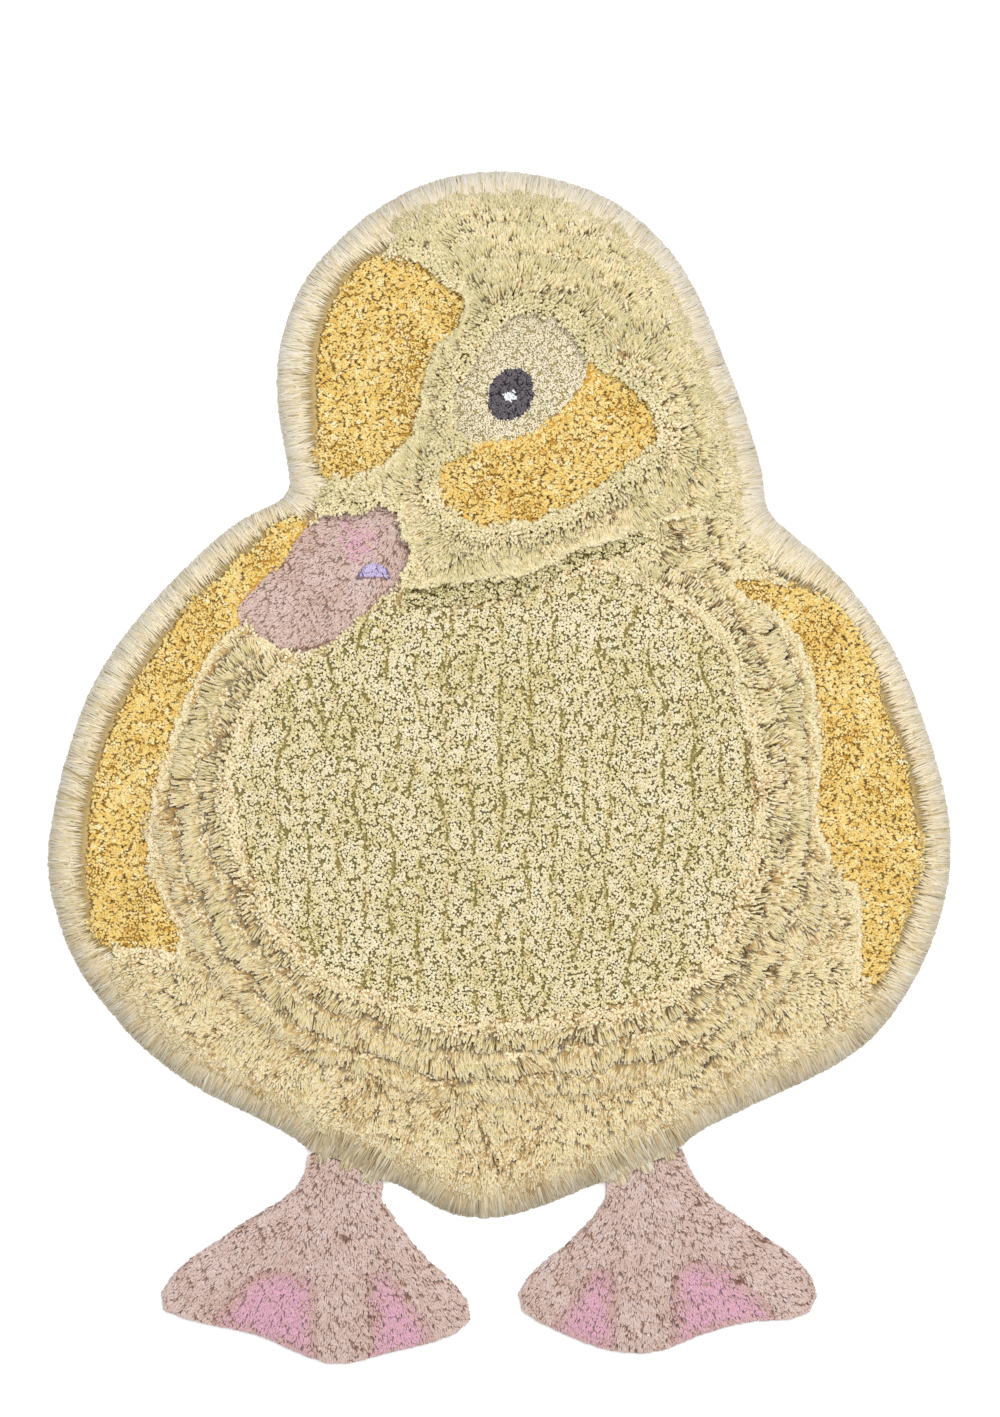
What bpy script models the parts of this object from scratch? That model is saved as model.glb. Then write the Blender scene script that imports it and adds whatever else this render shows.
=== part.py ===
# Duckling-shaped tufted cotton rug, lying flat on the floor.
# Units are metres. +Z is up, and +Y runs from the feet to the crown of the head.
# The origin is on the floor, under the middle of the rug's bounding box.
#
# The rug is a base cloth with fields of cut pile standing on it. Each field is tufted in its own
# yarn and at its own height: long shag on the head and body, a denser belly, mustard cheeks and
# wings, and short plush on the eye, beak and feet. The shag's outermost tufts lie outwards over
# the cloth's edge as combed locks.

import math
from typing import NamedTuple

import bmesh
import bpy
from mathutils import Vector, noise

MM = 0.001

# Base cloth
CLOTH_THICKNESS = 2.5 * MM
CLOTH_INSET = 12 * MM  # from the pile's outer edge back to the cloth's folded edge
CLEARANCE = 0.3 * MM  # between pieces that touch
FIELD_FLOOR = CLOTH_THICKNESS + CLEARANCE

# How the pile falls away at an outer edge
SHAG_RIM = 36 * MM  # width of the band of tufts combed outwards
SHAG_EDGE_TOP = 5 * MM
LEG_EDGE_TOP = 15 * MM  # the shag's edge where it lies on a leg
FOOT_RIM = 10 * MM
FOOT_EDGE_TOP = 4 * MM

# Locks at the shag's rim, each made of a notch and two shoulders
LOCK_PITCH = 26 * MM
POINTS_PER_LOCK = 3
NOTCH_DEPTH = 4 * MM
NOTCH_DROP = 4.5 * MM  # how far the groove behind a notch lies under its neighbours

# Rows of tufts
BELLY_ROW = 27 * MM  # from one parting to the next across the belly
BELLY_PARTING = 5 * MM  # depth of a parting
BELLY_SWAY = 12 * MM  # how far a row wanders to each side
BELLY_SWAY_LENGTH = 90 * MM
COLLAR_ROW = 28 * MM  # width of each ring of shag round the belly
COLLAR_ROWS = 3
COLLAR_TROUGH = 10 * MM
COLLAR_SHARE = 0.85  # the rings fill at most this much of the room between rim and belly
COLLAR_INNER_RUN = 30 * MM  # how far the body is lofted on past the belly's edge, which cuts it back

# Sampling of outlines and of the lumpy tops
EDGE_PITCH = 19 * MM
FIELD_PITCH = 20 * MM
SMOOTH_STEPS = 8  # points on each span of a smooth outline
CUT_MARGIN = 10 * MM  # how far a cutter runs past what it cuts
WELD = 0.01 * MM  # points nearer than this are one
PARALLEL = 1e-12  # below this a ray and an edge don't meet
MITRE_LIMIT = 0.5  # keeps a moved outline's sharp corners from shooting out
SHARP_ANGLE = math.radians(45)  # walls and floors stay crisp, lumps are shaded smooth
LUMP_SIZE = 24 * MM  # the usual width of a lump
# Places of the rings: across a rounded rim, then from the rim to the middle, as shares of the way
RIM_STEPS = (0, 0.35, 1)
HEAD_STEPS = (0.2, 0.4, 0.6, 0.85)
FOOT_STEPS = (0.3, 0.6, 0.85)


class Knot(NamedTuple):
    """A point that an outline passes through, in millimetres from the middle of the rug."""

    x: float
    y: float


class Pile(NamedTuple):
    """A field's height above the floor, and how far its lumps rise and sink."""

    top: float
    lump: float


class Edge(NamedTuple):
    """A point on a lofted field's edge, and the pile's height there.

    Of a lock's three points the first is notched. to_lock leads from each of them to the middle
    one, whose rings they share behind the rim.
    """

    place: Vector
    top: float
    notched: bool
    to_lock: int


SHAG = Pile(34 * MM, 3.5 * MM)
BELLY_PILE = Pile(25 * MM, 3 * MM)
CHIN_PILE = Pile(23 * MM, 3 * MM)
MUSTARD_PILE = Pile(21 * MM, 2.5 * MM)
EYE_PILE = Pile(16 * MM, 1.5 * MM)
PUPIL_PILE = Pile(15 * MM, 0.8 * MM)
GLINT_PILE = Pile(16 * MM, 0.3 * MM)
BEAK_PILE = Pile(13 * MM, 1.2 * MM)
NOSTRIL_PILE = Pile(15 * MM, 0.3 * MM)
FOOT_PILE = Pile(12 * MM, 1.2 * MM)

# The rug's outer edge, clockwise from the neck's left notch. Each stretch ends where the next begins.
OUTLINE = {
    "head": [
        Knot(-209, 283), Knot(-214, 311), Knot(-223, 368), Knot(-221, 420), Knot(-201, 480),
        Knot(-171, 520), Knot(-125, 560), Knot(-66, 589), Knot(2, 599), Knot(72, 587),
        Knot(128, 560), Knot(170, 521), Knot(200, 474), Knot(222, 420), Knot(245, 360),
        Knot(263, 300), Knot(266, 278),
    ],
    "right_flank": [
        Knot(264, 264), Knot(276, 249), Knot(311, 220), Knot(353, 180), Knot(395, 120),
        Knot(422, 58), Knot(446, -20), Knot(454, -82), Knot(446, -140), Knot(424, -200),
        Knot(386, -260), Knot(338, -299), Knot(253, -340), Knot(206, -363),
    ],
    "right_foot": [
        Knot(183, -382), Knot(191, -403), Knot(207, -427), Knot(242, -454), Knot(298, -494),
        Knot(317, -521), Knot(316, -541), Knot(298, -553), Knot(248, -557), Knot(202, -570),
        Knot(158, -587), Knot(108, -585), Knot(52, -563), Knot(23, -546), Knot(19, -530),
        Knot(36, -505), Knot(79, -468), Knot(102, -441), Knot(111, -422),
    ],
    "tail": [
        Knot(108, -415), Knot(88, -422), Knot(42, -441), Knot(-6, -453), Knot(-48, -449),
        Knot(-80, -432), Knot(-102, -418),
    ],
    "left_foot": [
        Knot(-117, -416), Knot(-120, -432), Knot(-109, -448), Knot(-84, -482),
        Knot(-44, -520), Knot(-31, -541), Knot(-32, -560), Knot(-60, -575), Knot(-112, -588),
        Knot(-163, -600), Knot(-202, -588), Knot(-243, -570), Knot(-293, -559), Knot(-334, -547),
        Knot(-341, -533), Knot(-321, -503), Knot(-265, -463), Knot(-211, -429), Knot(-194, -406),
    ],
    "left_flank": [
        Knot(-192, -388), Knot(-203, -374), Knot(-252, -348), Knot(-307, -320), Knot(-359, -281),
        Knot(-397, -238), Knot(-426, -197), Knot(-447, -141), Knot(-454, -95), Knot(-447, -40),
        Knot(-432, 20), Knot(-410, 80), Knot(-371, 140), Knot(-316, 200), Knot(-272, 240),
        Knot(-239, 260), Knot(-219, 266),
    ],
}

# The shag's inner edges, from right to left: along the chin and on under the beak, and over each leg.
CHIN_LINE = [
    Knot(264, 264), Knot(230, 251), Knot(190, 252), Knot(150, 245), Knot(118, 233),
    Knot(75, 221), Knot(40, 203), Knot(0, 192), Knot(-50, 187), Knot(-98, 180),
    Knot(-135, 200), Knot(-172, 236), Knot(-196, 266), Knot(-209, 283),
]
RIGHT_LEG_LINE = [Knot(183, -382), Knot(166, -387), Knot(140, -397), Knot(108, -415)]
LEFT_LEG_LINE = [Knot(-117, -416), Knot(-134, -404), Knot(-164, -388), Knot(-192, -388)]
# The body's shag is lofted on under the head, which then cuts it back to the chin line.
UNDER_HEAD = [
    Knot(-209, 283), Knot(-170, 300), Knot(-100, 298), Knot(0, 280), Knot(100, 290),
    Knot(200, 290), Knot(264, 264),
]

CHEEK_LEFT = [
    Knot(-142, 499), Knot(-118, 511), Knot(-92, 511), Knot(-66, 496), Knot(-29, 465),
    Knot(-37, 440), Knot(-62, 412), Knot(-72, 383), Knot(-75, 356), Knot(-86, 324),
    Knot(-101, 310), Knot(-120, 295), Knot(-143, 287), Knot(-170, 288), Knot(-178, 311),
    Knot(-182, 350), Knot(-182, 388), Knot(-180, 423), Knot(-167, 461),
]
CHEEK_RIGHT = [
    Knot(84, 410), Knot(111, 397), Knot(131, 382), Knot(150, 364), Knot(161, 343),
    Knot(157, 321), Knot(132, 301), Knot(105, 281), Knot(75, 261), Knot(40, 248),
    Knot(5, 242), Knot(-22, 238), Knot(-45, 249), Knot(-62, 267), Knot(-66, 284),
    Knot(-58, 304), Knot(-36, 318), Knot(0, 330), Knot(40, 345), Knot(66, 375),
]
EYE_PATCH = [
    Knot(38, 457), Knot(58, 451), Knot(76, 437), Knot(87, 416), Knot(86, 388),
    Knot(72, 370), Knot(52, 348), Knot(30, 330), Knot(0, 325), Knot(-36, 322),
    Knot(-48, 343), Knot(-49, 370), Knot(-40, 392), Knot(-22, 418), Knot(-6, 442),
    Knot(15, 455),
]
BEAK = [
    Knot(-189, 247), Knot(-174, 258), Knot(-154, 259), Knot(-134, 261), Knot(-114, 268),
    Knot(-103, 266), Knot(-96, 248), Knot(-87, 227), Knot(-81, 215), Knot(-88, 202),
    Knot(-98, 180), Knot(-113, 168), Knot(-132, 155), Knot(-145, 141), Knot(-160, 127),
    Knot(-180, 116), Knot(-205, 112), Knot(-228, 118), Knot(-250, 134), Knot(-266, 152),
    Knot(-260, 164), Knot(-238, 187), Knot(-223, 207), Knot(-204, 227),
]
CHIN_BAND = [
    Knot(-96, 178), Knot(-50, 185), Knot(0, 190), Knot(40, 201), Knot(75, 219),
    Knot(118, 231), Knot(148, 236), Knot(155, 226), Knot(124, 214), Knot(90, 203),
    Knot(50, 184), Knot(6, 168), Knot(-45, 160), Knot(-94, 163),
]
BELLY = [
    Knot(-107, 161), Knot(-45, 157), Knot(7, 165), Knot(52, 181), Knot(94, 197),
    Knot(132, 184), Knot(166, 165), Knot(199, 146), Knot(224, 113), Knot(238, 73),
    Knot(247, 23), Knot(254, -29), Knot(249, -82), Knot(233, -137), Knot(211, -185),
    Knot(170, -220), Knot(122, -237), Knot(45, -248), Knot(-30, -252), Knot(-70, -245),
    Knot(-109, -230), Knot(-166, -207), Knot(-211, -166), Knot(-240, -116), Knot(-260, -62),
    Knot(-268, -17), Knot(-257, 23), Knot(-230, 74), Knot(-185, 105), Knot(-155, 128),
    Knot(-132, 149),
]
WING_LEFT = [
    Knot(-194, 252), Knot(-215, 242), Knot(-247, 218), Knot(-282, 185), Knot(-314, 153),
    Knot(-340, 118), Knot(-366, 80), Knot(-392, 27), Knot(-407, -30), Knot(-412, -78),
    Knot(-409, -132), Knot(-403, -166), Knot(-385, -180), Knot(-350, -182), Knot(-316, -185),
    Knot(-328, -147), Knot(-343, -112), Knot(-351, -70), Knot(-342, -27), Knot(-328, 16),
    Knot(-317, 54), Knot(-295, 98), Knot(-278, 125), Knot(-252, 141), Knot(-225, 178),
    Knot(-200, 220),
]
WING_RIGHT = [
    Knot(232, 184), Knot(245, 194), Knot(277, 184), Knot(307, 175), Knot(334, 156),
    Knot(362, 116), Knot(380, 68), Knot(401, 14), Knot(413, -32), Knot(418, -82),
    Knot(411, -124), Knot(401, -154), Knot(388, -190), Knot(368, -222), Knot(360, -207),
    Knot(359, -152), Knot(357, -118), Knot(336, -112), Knot(325, -82), Knot(316, -52),
    Knot(318, -2), Knot(315, 53), Knot(308, 100), Knot(290, 135), Knot(268, 163),
    Knot(245, 165),
]
# The darker webs between the toes. Each runs on past the foot's outer edge, which trims it.
WEBS = {
    "web_left_outer": [
        Knot(-248, -504), Knot(-220, -500), Knot(-186, -504), Knot(-181, -524), Knot(-184, -552),
        Knot(-181, -590), Knot(-190, -612), Knot(-222, -592), Knot(-253, -578), Knot(-290, -570),
        Knot(-284, -547), Knot(-266, -526),
    ],
    "web_left_inner": [
        Knot(-134, -502), Knot(-118, -500), Knot(-102, -516), Knot(-82, -540), Knot(-66, -570),
        Knot(-62, -586), Knot(-100, -600), Knot(-134, -606), Knot(-131, -567), Knot(-133, -532),
    ],
    "web_right_inner": [
        Knot(98, -496), Knot(115, -498), Knot(121, -516), Knot(118, -542), Knot(118, -584),
        Knot(112, -604), Knot(84, -594), Knot(48, -574), Knot(53, -558), Knot(68, -538),
        Knot(84, -512),
    ],
    "web_right_outer": [
        Knot(175, -496), Knot(198, -489), Knot(226, -496), Knot(248, -515), Knot(270, -536),
        Knot(278, -552), Knot(276, -572), Knot(246, -570), Knot(212, -582), Knot(176, -600),
        Knot(171, -567), Knot(171, -532),
    ],
}

# The eye and nostril, from formulas
PUPIL_MIDDLE = Knot(11, 374)
PUPIL_HALF_AXES = (27.5 * MM, 23 * MM)
PUPIL_TILT = math.radians(62)  # of its long axis
GLINT_MIDDLE = Knot(10, 372)
GLINT_HALF_AXES = (5.5 * MM, 4.5 * MM)
NOSTRIL_MIDDLE = Knot(-126, 188)
NOSTRIL_OUTER = (16.5 * MM, 15 * MM)  # half width and rise of the crescent's upper arc
NOSTRIL_INNER_RISE = 6 * MM
ELLIPSE_STEPS = 16

# Middles that the lofted fields' spokes run to
HEAD_MIDDLE = Knot(8, 385)
BODY_MIDDLE = Knot(0, -30)
LEFT_FOOT_MIDDLE = Knot(-178, -512)
RIGHT_FOOT_MIDDLE = Knot(148, -508)

YARN_COLOURS = {
    "canvas": (0.80, 0.75, 0.64),
    "cream_shag": (0.80, 0.74, 0.52),
    "sage_belly": (0.79, 0.76, 0.54),
    "olive_chin": (0.58, 0.55, 0.38),
    "mustard": (0.88, 0.71, 0.35),
    "oat_plush": (0.82, 0.76, 0.62),
    "charcoal": (0.14, 0.13, 0.15),
    "white": (0.92, 0.92, 0.95),
    "blush_plush": (0.76, 0.62, 0.54),
    "rose_web": (0.78, 0.58, 0.60),
    "lilac_satin": (0.66, 0.60, 0.72),
}


def clear_scene():
    for obj in list(bpy.data.objects):
        bpy.data.objects.remove(obj)


def add_collection(name):
    collection = bpy.data.collections.new(name)
    bpy.context.scene.collection.children.link(collection)
    return collection


def yarn_materials():
    """One matt material for each yarn. Only the satin stitches shine a little."""
    made = {}
    for name, colour in YARN_COLOURS.items():
        material = bpy.data.materials.new(name)
        material.use_nodes = True
        shader = material.node_tree.nodes["Principled BSDF"]
        shader.inputs["Base Color"].default_value = (*colour, 1)
        shader.inputs["Roughness"].default_value = 0.45 if name == "lilac_satin" else 0.95
        shader.inputs["Metallic"].default_value = 0
        made[name] = material
    return made


# ---------- outlines ----------


def smooth(knots, closed):
    """Points along the smooth (Catmull-Rom) curve through the knots, in metres."""
    places = [Vector((k.x, k.y)) * MM for k in knots]
    count = len(places)
    spans = count if closed else count - 1
    points = []
    for i in range(spans):
        a, b, c, d = (
            places[j % count] if closed else places[min(max(j, 0), count - 1)]
            for j in range(i - 1, i + 3)
        )
        for step in range(SMOOTH_STEPS):
            t = step / SMOOTH_STEPS
            points.append(
                0.5
                * (
                    2 * b
                    + (c - a) * t
                    + (2 * a - 5 * b + 4 * c - d) * t**2
                    + (3 * b - a - 3 * c + d) * t**3
                )
            )
    return points if closed else [*points, places[-1]]


def spaced(points, pitch, multiple=1):
    """Evenly spaced points along an open line, without its last point. Their number is a multiple."""
    lengths = [0.0]
    for a, b in zip(points, points[1:]):
        lengths.append(lengths[-1] + (b - a).length)
    parts = max(1, round(lengths[-1] / pitch / multiple)) * multiple
    found = []
    span = 0
    for i in range(parts):
        along = lengths[-1] * i / parts
        while lengths[span + 1] < along:
            span += 1
        share = (along - lengths[span]) / (lengths[span + 1] - lengths[span])
        found.append(points[span].lerp(points[span + 1], share))
    return found


def closed_loop(knots, pitch=EDGE_PITCH):
    points = smooth(knots, closed=True)
    return spaced([*points, points[0]], pitch)


def signed_area(loop):
    return sum(a.cross(b) for a, b in zip(loop, [*loop[1:], loop[0]])) / 2


def grown(loop, by):
    """The loop moved outwards, or inwards if by is negative."""
    outwards = 1 if signed_area(loop) > 0 else -1
    moved = []
    for before, point, after in zip([loop[-1], *loop[:-1]], loop, [*loop[1:], loop[0]]):
        into = (point - before).normalized()
        out = (after - point).normalized()
        along = (into + out).normalized()
        normal = Vector((along.y, -along.x)) * outwards
        moved.append(point + normal * by / max(MITRE_LIMIT, along.dot(out)))
    return moved


def ellipse(middle, half_axes, tilt):
    """Points round an ellipse whose first half axis is tilted from +X."""
    turn = Vector((math.cos(tilt), math.sin(tilt)))
    side = Vector((-turn.y, turn.x))
    points = []
    for i in range(ELLIPSE_STEPS):
        angle = 2 * math.pi * i / ELLIPSE_STEPS
        offset = turn * half_axes[0] * math.cos(angle) + side * half_axes[1] * math.sin(angle)
        points.append(Vector((middle.x, middle.y)) * MM + offset)
    return points


def crescent(middle, half_width, rise, inner_rise):
    """A crescent with its points down: one arc over another on the same two ends."""
    half = ELLIPSE_STEPS // 2
    base = Vector((middle.x, middle.y)) * MM
    angles = [math.pi * i / half for i in range(half + 1)]
    upper = [base + Vector((half_width * math.cos(a), rise * math.sin(a))) for a in angles]
    lower = [base + Vector((half_width * math.cos(a), inner_rise * math.sin(a))) for a in angles]
    return [*upper, *reversed(lower[1:-1])]


def outline_stretches():
    """The rug's smooth outer edge, and each of its named stretches with both ends."""
    every_knot = [knot for knots in OUTLINE.values() for knot in knots]
    whole = smooth(every_knot, closed=True)
    stretches, start = {}, 0
    for name, knots in OUTLINE.items():
        end = start + len(knots) * SMOOTH_STEPS
        stretches[name] = [whole[i % len(whole)] for i in range(start, end + 1)]
        start = end
    return whole, stretches


# ---------- edges of the lofted fields ----------


def locked_edge(points, top):
    """An outer edge of shag, spaced for locks: every third point is a notch."""
    spots = spaced(points, LOCK_PITCH / POINTS_PER_LOCK, POINTS_PER_LOCK)
    turns = [i % POINTS_PER_LOCK for i in range(len(spots))]
    return [Edge(spot, top, turn == 0, 1 - turn) for spot, turn in zip(spots, turns)]


def plain_edge(points, top):
    return [Edge(spot, top, False, 0) for spot in spaced(points, EDGE_PITCH)]


def head_edge(stretches):
    return [
        *locked_edge(stretches["head"], SHAG_EDGE_TOP),
        *plain_edge(smooth(CHIN_LINE, closed=False), SHAG.top),
    ]


def body_edge(stretches):
    return [
        *locked_edge(stretches["right_flank"], SHAG_EDGE_TOP),
        *locked_edge(smooth(RIGHT_LEG_LINE, closed=False), LEG_EDGE_TOP),
        *locked_edge(stretches["tail"], SHAG_EDGE_TOP),
        *locked_edge(smooth(LEFT_LEG_LINE, closed=False), LEG_EDGE_TOP),
        *locked_edge(stretches["left_flank"], SHAG_EDGE_TOP),
        *plain_edge(smooth(UNDER_HEAD, closed=False), SHAG.top),
    ]


def foot_edge(outer, leg_line):
    return [
        *plain_edge(outer, FOOT_EDGE_TOP),
        *plain_edge(list(reversed(smooth(leg_line, closed=False))), FOOT_PILE.top),
    ]


# ---------- lumpy tops ----------


def lump(place, depth, size=LUMP_SIZE):
    """Smooth unevenness: between -depth and depth, with bumps about this wide."""
    return depth * noise.noise(Vector((place.x, place.y, size)) / size)


def rim_height(inwards, rim, edge_top, top):
    """The pile's height this far in from its outer edge: a quarter of an ellipse."""
    if inwards >= rim:
        return top
    return edge_top + (top - edge_top) * math.sqrt(1 - (1 - inwards / rim) ** 2)


def belly_height(place):
    """Rows of tufts from head to tail, a little wavy, with low partings between them."""
    sway = lump(Vector((0, place.y)), BELLY_SWAY, BELLY_SWAY_LENGTH)
    parting = (1 - math.cos(2 * math.pi * (place.x + sway) / BELLY_ROW)) / 2
    return BELLY_PILE.top - BELLY_PARTING * parting + lump(place, BELLY_PILE.lump)


def even_height(pile):
    """A height function for a field that is lumpy but has no rows."""
    return lambda place: pile.top + lump(place, pile.lump)


# ---------- solids ----------


def link_mesh(name, bm, collection):
    mesh = bpy.data.meshes.new(name)
    bmesh.ops.recalc_face_normals(bm, faces=bm.faces)
    bm.to_mesh(mesh)
    bm.free()
    mesh.shade_smooth()
    mesh.set_sharp_from_angle(angle=SHARP_ANGLE)
    obj = bpy.data.objects.new(name, mesh)
    collection.objects.link(obj)
    return obj


def prism(name, loop, low, high, collection):
    """A flat outline extruded from low to high, as a mesh that Booleans can use."""
    curve = bpy.data.curves.new(name, "CURVE")
    curve.dimensions = "2D"
    curve.fill_mode = "BOTH"
    curve.extrude = (high - low) / 2
    spline = curve.splines.new("POLY")
    spline.points.add(len(loop) - 1)
    for point, place in zip(spline.points, loop):
        point.co = (place.x, place.y, 0, 1)
    spline.use_cyclic_u = True
    flat = bpy.data.objects.new(name, curve)
    collection.objects.link(flat)
    bpy.context.view_layer.update()
    evaluated = flat.evaluated_get(bpy.context.evaluated_depsgraph_get())
    mesh = bpy.data.meshes.new_from_object(evaluated)
    bpy.data.objects.remove(flat)
    bm = bmesh.new()
    bm.from_mesh(mesh)
    bpy.data.meshes.remove(mesh)
    bmesh.ops.remove_doubles(bm, verts=bm.verts, dist=WELD)
    bmesh.ops.translate(bm, verts=bm.verts, vec=(0, 0, (low + high) / 2))
    return link_mesh(name, bm, collection)


def thicken_down(bm, floor):
    """Closes a top surface into a solid: walls down from its rim, and one flat face under it."""
    rim = [edge for edge in bm.edges if edge.is_boundary]
    made = bmesh.ops.extrude_edge_only(bm, edges=rim)
    for item in made["geom"]:
        if isinstance(item, bmesh.types.BMVert):
            item.co.z = floor
    sole = [item for item in made["geom"] if isinstance(item, bmesh.types.BMEdge) and item.is_boundary]
    bmesh.ops.contextual_create(bm, geom=sole)


def gridded_pile(name, loop, floor, height, pitch, collection):
    """A block with a lumpy top that covers the loop's box. The field's prism trims it."""
    low = Vector((min(p.x for p in loop), min(p.y for p in loop))) - pitch
    high = Vector((max(p.x for p in loop), max(p.y for p in loop))) + pitch
    columns = math.ceil((high.x - low.x) / pitch.x)
    rows = math.ceil((high.y - low.y) / pitch.y)
    bm = bmesh.new()
    bmesh.ops.create_grid(bm, x_segments=columns, y_segments=rows, size=0.5)
    for vert in bm.verts:
        share = Vector((vert.co.x + 0.5, vert.co.y + 0.5))
        place = Vector((low.x + share.x * (high.x - low.x), low.y + share.y * (high.y - low.y)))
        vert.co = (place.x, place.y, height(place))
    thicken_down(bm, floor)
    return link_mesh(name, bm, collection)


def lofted_pile(name, edge, middle, spoke, floor, collection):
    """A lumpy slab lofted from its edge towards a middle.

    spoke(point, inwards, reach) gives, for one point of the edge, how far in from the edge each
    ring lies and how high the pile stands there.
    """
    centre = Vector((middle.x, middle.y)) * MM
    profiles = []
    for point in edge:
        inwards = centre - point.place
        profiles.append((point, inwards.normalized(), spoke(point, inwards, inwards.length)))
    rings = len(profiles[0][2])
    innermost = set()
    bm = bmesh.new()
    bmesh.ops.create_grid(bm, x_segments=len(edge), y_segments=rings - 1, size=0.5)
    for vert in bm.verts:
        turn = round((vert.co.x + 0.5) * len(edge)) % len(edge)
        ring = round((vert.co.y + 0.5) * (rings - 1))
        if ring >= len(RIM_STEPS):
            turn += edge[turn].to_lock
        point, direction, profile = profiles[turn]
        inwards, height = profile[ring]
        place = point.place + direction * inwards
        vert.co = (place.x, place.y, height)
        if ring == rings - 1:
            innermost.add(vert)
    bmesh.ops.remove_doubles(bm, verts=bm.verts, dist=WELD)
    inner_rim = [e for e in bm.edges if e.is_boundary and innermost.issuperset(e.verts)]
    bmesh.ops.contextual_create(bm, geom=inner_rim)
    thicken_down(bm, floor)
    return link_mesh(name, bm, collection)


def cut(obj, other, operation):
    """Adds a Boolean that stays live on the object."""
    modifier = obj.modifiers.new(f"{operation.lower()}_{other.name}", "BOOLEAN")
    modifier.operation = operation
    modifier.object = other
    return obj


# ---------- spokes of the lofted fields ----------


def rim_rings(point, rim, top):
    """The rings across a rounded rim. A notch starts further in and leaves a groove behind it."""
    rings = []
    for step in RIM_STEPS:
        inwards = step * rim
        groove = NOTCH_DROP * math.sin(math.pi * step) if point.notched else 0
        start = NOTCH_DEPTH * (1 - step) if point.notched else 0
        rings.append((inwards + start, rim_height(inwards, rim, point.top, top) - groove))
    return rings


def ray_reach(loop, centre, direction):
    """How far a ray from the centre runs before it meets the loop."""
    for a, b in zip(loop, [*loop[1:], loop[0]]):
        side = b - a
        spread = direction.cross(side)
        if abs(spread) < PARALLEL:
            continue
        away = (a - centre).cross(side) / spread
        along = (a - centre).cross(direction) / spread
        if away > 0 and 0 <= along <= 1:
            return away
    raise ValueError("the centre lies outside the loop")


def body_spoke(belly):
    """Rings for the body: rows of shag round the belly, a plain stretch, then the rim."""
    centre = Vector((BODY_MIDDLE.x, BODY_MIDDLE.y)) * MM

    def spoke(point, inwards, reach):
        to_belly = reach - ray_reach(belly, centre, -inwards.normalized())
        rings = rim_rings(point, SHAG_RIM, SHAG.top)
        half_rows = 2 * COLLAR_ROWS
        half_row = min(COLLAR_ROW / 2, (to_belly - SHAG_RIM) * COLLAR_SHARE / half_rows)
        for k in range(half_rows, -1, -1):
            trough = COLLAR_TROUGH if k % 2 == 0 else 0
            rings.append((to_belly - half_row * k, SHAG.top - trough))
        rings.append((to_belly + COLLAR_INNER_RUN, SHAG.top))
        return lumpy(point, inwards, rings, SHAG.lump)

    return spoke


def head_spoke(point, inwards, reach):
    """Rings for the head: its rim, then on towards its middle, which lies in the eye patch."""
    rings = rim_rings(point, SHAG_RIM, SHAG.top)
    rings += [(SHAG_RIM + (reach - SHAG_RIM) * step, SHAG.top) for step in HEAD_STEPS]
    return lumpy(point, inwards, rings, SHAG.lump)


def foot_spoke(point, inwards, reach):
    """Rings for a foot: a small rounded rim, then on towards its middle."""
    rings = rim_rings(point, FOOT_RIM, FOOT_PILE.top)
    rings += [(FOOT_RIM + (reach - FOOT_RIM) * step, FOOT_PILE.top) for step in FOOT_STEPS]
    return lumpy(point, inwards, rings, FOOT_PILE.lump)


def lumpy(point, inwards, rings, depth):
    """The rings with lumps added, fading out at the outer edge. The innermost ring stays level."""
    direction = inwards.normalized()
    uneven = []
    for distance, height in rings[:-1]:
        place = point.place + direction * distance
        fade = min(1, distance / SHAG_RIM) if point.top < SHAG.top else 1
        uneven.append((distance, height + fade * lump(place, depth)))
    return [*uneven, rings[-1]]


# ---------- the rug ----------


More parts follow.
